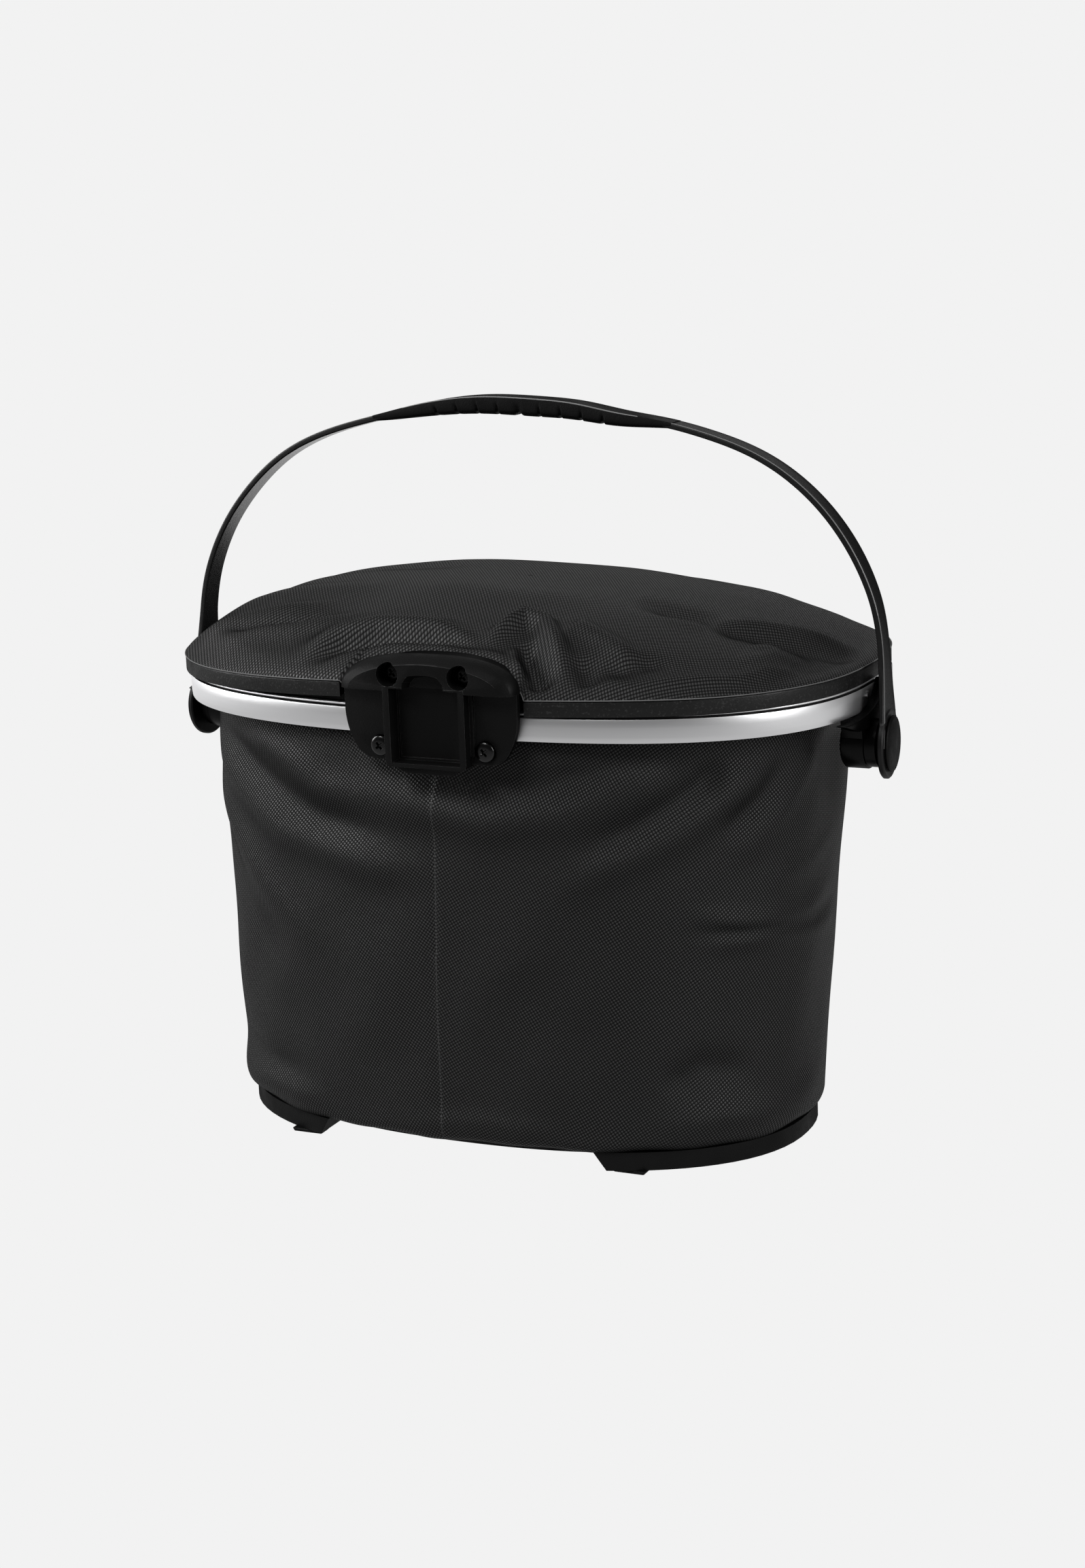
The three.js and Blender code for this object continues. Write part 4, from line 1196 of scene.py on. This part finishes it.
def bow_path(count):
    """Points and outward normals of the bow over the pivots, from the right pivot to the left."""
    angle = np.linspace(0, np.pi, 3001)
    c, s = np.cos(angle), np.sin(angle)
    x = BOW_A * np.sign(c) * np.abs(c) ** (2 / BOW_POWER)
    z = BOW_RISE * np.abs(s) ** (2 / BOW_POWER)
    # sprung in at the pivots, a little wider above them, fallen at the shoulders and pushed over
    wide = -1.6 + 2.6 * ramp(z, 25, 80)
    over = np.where(x < 0, 0.7, -0.4) * ramp(z, 0, 30)
    x = x + (np.sign(x) * wide + over) * (1 - ramp(z, 120, 165))
    z = z - 2.8 * np.exp(-(((np.abs(x) - 100) / 48) ** 2))
    z = z - 0.011 * x * ramp(z, 60, 150)
    for middle, width, height in BOW_WAVES:
        z = z + height * np.exp(-(((x - middle) / width) ** 2)) * ramp(z, 60, 120)
    length = np.concatenate([[0], np.cumsum(np.hypot(np.diff(x), np.diff(z)))])
    at = np.linspace(0, length[-1], count)
    x, z = np.interp(at, length, x), np.interp(at, length, z)
    along = np.stack([np.gradient(x), np.gradient(z)], 1)
    along /= np.linalg.norm(along, axis=1)[:, None]
    return np.stack([x, z], 1), np.stack([along[:, 1], -along[:, 0]], 1), at


# painted highlight: the faces of this row, on the near side only, take the lighter edge paint
HIGHLIGHT_ROW = 9  # the chamfer on the near edge, counted round the strip's section


def handle_bow():
    """The strip: flat outside with a fine raised edge, and wider where it runs down into its discs."""
    spots, normals, at = bow_path(320)
    t, w = BOW_THICK + 0.2, BOW_WIDTH / 2
    half = [(w - 0.8, -t), (w - 0.1, -t + 0.6), (w, -1.0), (w - 0.3, -0.35), (w - 0.85, 0.0)]
    half += [(w - 1.4, -0.2), (w * 0.4, -0.25)]
    section = mirrored(half)
    from_end = np.minimum(at, at[-1] - at)
    widen = 1 + 1.35 * np.clip(1 - from_end / 54, 0, 1) ** 1.4
    toe = TOE * (1 - ramp(from_end, 20, 110))
    points = np.zeros((len(section), len(spots), 3))
    for row, (across, out) in enumerate(section):
        reach = across * widen
        away = out - reach * np.sin(toe)
        points[row, :, 0] = spots[:, 0] + normals[:, 0] * away
        points[row, :, 2] = spots[:, 1] + normals[:, 1] * away
        points[row, :, 1] = reach * np.cos(toe)
    obj = grid("handle_strip", lean(points), closed_v=True)
    cols = len(spots)
    for material in (STRIP, STRIP_EDGE_HIGHLIGHT, STRIP_INNER):
        obj.data.materials.append(material)
    # the near edge's chamfer row takes the painted highlight, the inner face a shinier copy of the paint
    for face in obj.data.polygons:
        row = face.index // (cols - 1)
        face.material_index = {HIGHLIGHT_ROW: 1, len(section) - 1: 2}.get(row, 0)
    for end in (0, cols - 1):
        fan_close(obj, [row * cols + end for row in range(len(section))])
    tidy(obj)
    for side in (-1, 1):
        profile = [(-t, PIVOT_BORE), (-t, 17.2), (-t + 0.7, 18), (-0.8, 18), (-0.1, 17.3), (0, 16.4)]
        profile += [(-0.2, 15.6), (-0.2, PIVOT_BORE), (-t, PIVOT_BORE)]
        profile = [(DISC_OUT + x, radius) for x, radius in profile]
        disc = toe_out(lathe_x("disc", profile, side, PIVOT_Y, PIVOT_Z, 96), side, DISC_OUT)
        ends = [(side * (BOW_A + out), PIVOT_Y, PIVOT_Z) for out in (-12, 6)]
        cut(obj, rod("tool", PIVOT_BORE + 0.1, *ends))
        cut(obj, disc, operation="UNION")
    tidy(obj, 34)
    shift(obj, HANDLE_SHIFT)
    return finish_piece(obj, "handle", STRIP, "handle_bow", slot="handle_metal", edge=STRIP_EDGE_HIGHLIGHT)


def paint_near_edge_highlight(obj):
    # painted highlight: grip faces that turn outwards and towards the near side take the lighter edge
    # paint
    middle = Vector(to_metres((0, PIVOT_Y, 20)))
    for face in obj.data.polygons:
        away = face.center - middle
        away.y = 0
        out = face.normal.dot(away.normalized())
        if 0.3 < out < 0.93 and face.normal.y < -0.3:
            face.material_index = 1


def grip_drop(x):
    """How far the grip hangs below the strip at a distance from the middle."""
    return 6.2 * np.clip(1 - (x / GRIP_HALF) ** 2, 0, 1) ** 0.85


def finger_notches(x):
    """Depth of the nine fine cuts across the underside; the middle one is wider."""
    pitch, deepest = 12.2, 1.7
    depth = np.zeros(len(x))
    for i in range(-4, 5):
        wide = 1.0 if i else 2.1
        depth += deepest * np.exp(-np.abs((x - i * pitch) / wide) ** 2.5)
    return depth


def handle_grip():
    """A sleeve moulded under and round the strip, deepest in the middle and tapered to nothing."""
    spots, normals, _ = bow_path(3200)
    inside = np.abs(spots[:, 0]) < GRIP_HALF
    spots, normals = spots[inside], normals[inside]
    x = spots[:, 0]
    ends = ramp(GRIP_HALF - np.abs(x), 0, 40)
    half = BOW_WIDTH / 2 + 0.15 + 1.1 * ends
    drop = BOW_THICK + 0.15 + grip_drop(x)
    top = 0.12 + 0.5 * ends
    notch = finger_notches(x)
    shape = [(1.0, -0.16, 0), (0.98, 0.2, 0), (0.88, 1.0, 0), (0.78, 0.75, 0), (0.4, 0.8, 0), (0, 0.8, 0)]
    shape += [(-a, r, n) for a, r, n in reversed(shape[:-1])]
    under = [(-1.0, -0.34, 0.15), (-0.985, -0.5, 0.7), (-0.95, -0.68, 1), (-0.86, -0.85, 1)]
    under += [(-0.66, -0.96, 1), (-0.3, -1.0, 1), (0, -1.0, 1)]
    shape += under + [(-a, r, n) for a, r, n in reversed(under[:-1])]
    points = np.zeros((len(shape), len(x), 3))
    for row, (across, rise, cut_in) in enumerate(shape):
        out = rise * (top if rise > 0 else drop)
        size = math.hypot(across, rise)
        out = out - cut_in * notch * ends * rise / size
        points[row, :, 0] = x + normals[:, 0] * out
        points[row, :, 2] = spots[:, 1] + normals[:, 1] * out
        points[row, :, 1] = across * half - cut_in * notch * ends * 0.6 * across / size
    obj = grid("handle_grip_sleeve", lean(points), closed_v=True)
    cols = len(x)
    for end in (0, cols - 1):
        fan_close(obj, [row * cols + end for row in range(len(shape))])
    tidy(obj, 50)
    shift(obj, HANDLE_SHIFT)
    finish_piece(obj, "handle", PLASTIC, "handle_grip", slot="plastic_matte", edge=STRIP_EDGE_HIGHLIGHT)
    # painted highlight along the grip's near upper edge
    paint_near_edge_highlight(obj)
    return obj


# ---------------------------------------------------------------- CAD nodes that stay
def dress(nodes, material, width=0.0):
    for name in nodes:
        obj = frame["nodes"][name]
        obj.data.materials.clear()
        obj.data.materials.append(material)
        if width:
            edge = obj.modifiers.new("edge", "BEVEL")
            edge.width = width * MM
            edge.segments = 2
            edge.limit_method = "ANGLE"
            edge.angle_limit = math.radians(40)


def dress_kept_nodes():
    sides = [name for name, _ in SIDES]
    dress(["bag_welt", "base_board"], PLASTIC)
    dress([f"hinge_{part}_leaf_{s}" for part in ("frame", "lid") for s in sides], PLASTIC, 0.3)
    dress([f"hinge_pin_{s}" for s in sides], ZINC)
    dress([f"receiver_nut_{row}_{s}" for row in ("upper", "lower") for s in sides], ZINC, 0.2)
    dress([f"base_screw_{end}_{s}" for end in ("near", "far") for s in sides], ZINC)


# ---------------------------------------------------------------- stage
CAMERA_PALE = 0.888  # linear brightness of the pale ground as the camera sees it
FLOOR_SCATTER = 0.16  # how brightly the ground lights the basket from below


def stage():
    """A pale floor that runs up into a backdrop, and large soft lights."""
    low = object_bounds()[0].z - 0.0005
    deep, rise = 3.6, 1.5
    profile = [(-6.0, low), (-2.0, low), (0.0, low), (2.0, low), (deep, low)]
    for t in np.linspace(0.1, math.pi / 2, 12):
        profile.append((deep + rise * math.sin(t), low + rise * (1 - math.cos(t))))
    profile.append((deep + rise, low + 7))
    mesh = bpy.data.meshes.new("floor")
    points = [(x, y + CENTRE.y, z) for x in (-8, 8) for y, z in profile]
    count = len(profile)
    mesh.from_pydata(points, [], [[i, i + 1, i + 1 + count, i + count] for i in range(count - 1)])
    floor = bpy.data.objects.new("floor", mesh)
    bpy.context.scene.collection.objects.link(floor)
    floor.data.materials.append(floor_material())
    floor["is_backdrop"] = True
    lights = [
        # name, place about the rim's centre in metres, size, watts
        ("left", (-1.5, -0.4, 0.6), (0.5, 0.9), 25),
        ("right", (1.5, -0.4, 0.6), (0.5, 0.9), 15),
        ("front", (-0.3, -1.3, 1.2), (0.6, 0.4), 18),
        ("key", (-0.6, -1.2, 1.5), (0.6, 0.4), 14),
    ]
    for name, place, size, power in lights:
        lamp = bpy.data.lights.new(name, "AREA")
        lamp.shape = "RECTANGLE"
        lamp.size, lamp.size_y = size
        lamp.energy = power
        obj = bpy.data.objects.new(name, lamp)
        bpy.context.scene.collection.objects.link(obj)
        obj.location = CENTRE + Vector(place)
        aim = CENTRE + Vector((0, 0, -0.08)) - obj.location
        obj.rotation_euler = aim.to_track_quat("-Z", "Y").to_euler()
        obj.visible_camera = False
        obj.visible_glossy = name != "front"


def floor_material():
    """Even and pale to the camera; in reflections brighter behind the basket than before it."""
    material = bpy.data.materials.new("pale_floor")
    material.use_nodes = True
    material.node_tree.nodes.clear()
    g = Graph(material.node_tree)
    parts = g.add("SeparateXYZ", {0: g.add("NewGeometry").outputs["Position"]}).outputs
    behind = g.ramp(parts[1], 0.42, 0.92, CENTRE.y - 1.0, CENTRE.y + 0.3)
    # the ground falls off into shade far behind on the right
    aside = g.ramp(parts[0], 0.0, 1.0, CENTRE.x + 0.1, CENTRE.x + 0.6)
    beyond = g.ramp(parts[1], 0.0, 0.85, CENTRE.y + 0.7, CENTRE.y + 1.1)
    lit = g.math("SUBTRACT", 1.0, g.multiply(aside, beyond))
    glow = g.add("Emission", {1: g.by_ray(CAMERA_PALE, g.multiply(behind, lit), FLOOR_SCATTER)})
    g.add("OutputMaterial", {0: glow.outputs[0]})
    return material


def world():
    sky = bpy.data.worlds.new("studio")
    bpy.context.scene.world = sky
    sky.use_nodes = True
    g = Graph(sky.node_tree)
    parts = g.add("SeparateXYZ", {0: g.coords.outputs["Generated"]}).outputs
    behind = g.ramp(parts[1], 0.10, 0.85, -0.3, 0.8)
    above = g.ramp(parts[2], 0.05, 0.15, 0.0, 1.0)
    back = sky.node_tree.nodes["Background"]
    g.set(back.inputs["Strength"], g.by_ray(CAMERA_PALE, behind, above))
    g.set(back.inputs["Color"], (1, 1, 1, 1))
    bpy.context.scene.view_settings.view_transform = "Standard"


def camera():
    """At the photograph's angle: 25 degrees round to the right and 13.6 above, with a slight roll."""
    azimuth, elevation, roll = math.radians(25.2), math.radians(13.6), math.radians(-2.23)
    distance, focal = 1.640, 69.55
    flat = math.cos(elevation)
    back = Vector((math.sin(azimuth) * flat, -math.cos(azimuth) * flat, math.sin(elevation)))
    right = Vector((math.cos(azimuth), math.sin(azimuth), 0))
    up = back.cross(right)
    across = right * math.cos(roll) + up * math.sin(roll)
    upward = up * math.cos(roll) - right * math.sin(roll)
    data = bpy.data.cameras.new("camera")
    data.lens = focal
    data.sensor_width = 36
    data.clip_start, data.clip_end = 0.05, 50
    obj = bpy.data.objects.new("camera", data)
    bpy.context.scene.collection.objects.link(obj)
    aim = CENTRE + Vector((0.0008, 0, -0.0665))
    turn = Matrix((across, upward, back)).transposed().to_4x4()
    obj.matrix_world = Matrix.Translation(aim + back * distance) @ turn
    bpy.context.scene.camera = obj


# ---------------------------------------------------------------- build
rim_frame()
bag()
base_plate()
for end in ("near", "far", "end_near", "end_far"):
    for side_name, _ in SIDES:
        foot(f"foot_{end}_{side_name}")
lid_edge(lid_cover())
lid_rim()
lid_lip()
receiver()
for row_name in ("upper", "lower"):
    for side_name, _ in SIDES:
        pan_screw(f"receiver_screw_{row_name}_{side_name}")
for side_name, side_sign in SIDES:
    hub_bracket(side_sign, f"hub_bracket_{side_name}")
    hub_cap(side_sign, f"hub_cap_{side_name}")
    bracket_screw(side_sign, f"hub_bracket_screw_{side_name}")
    pivot_washer(side_sign, f"pivot_washer_{side_name}")
    pivot_bolt(side_sign, f"pivot_bolt_{side_name}")
clamp_plate()
handle_bow()
handle_grip()
dress_kept_nodes()
stage()
world()
camera()
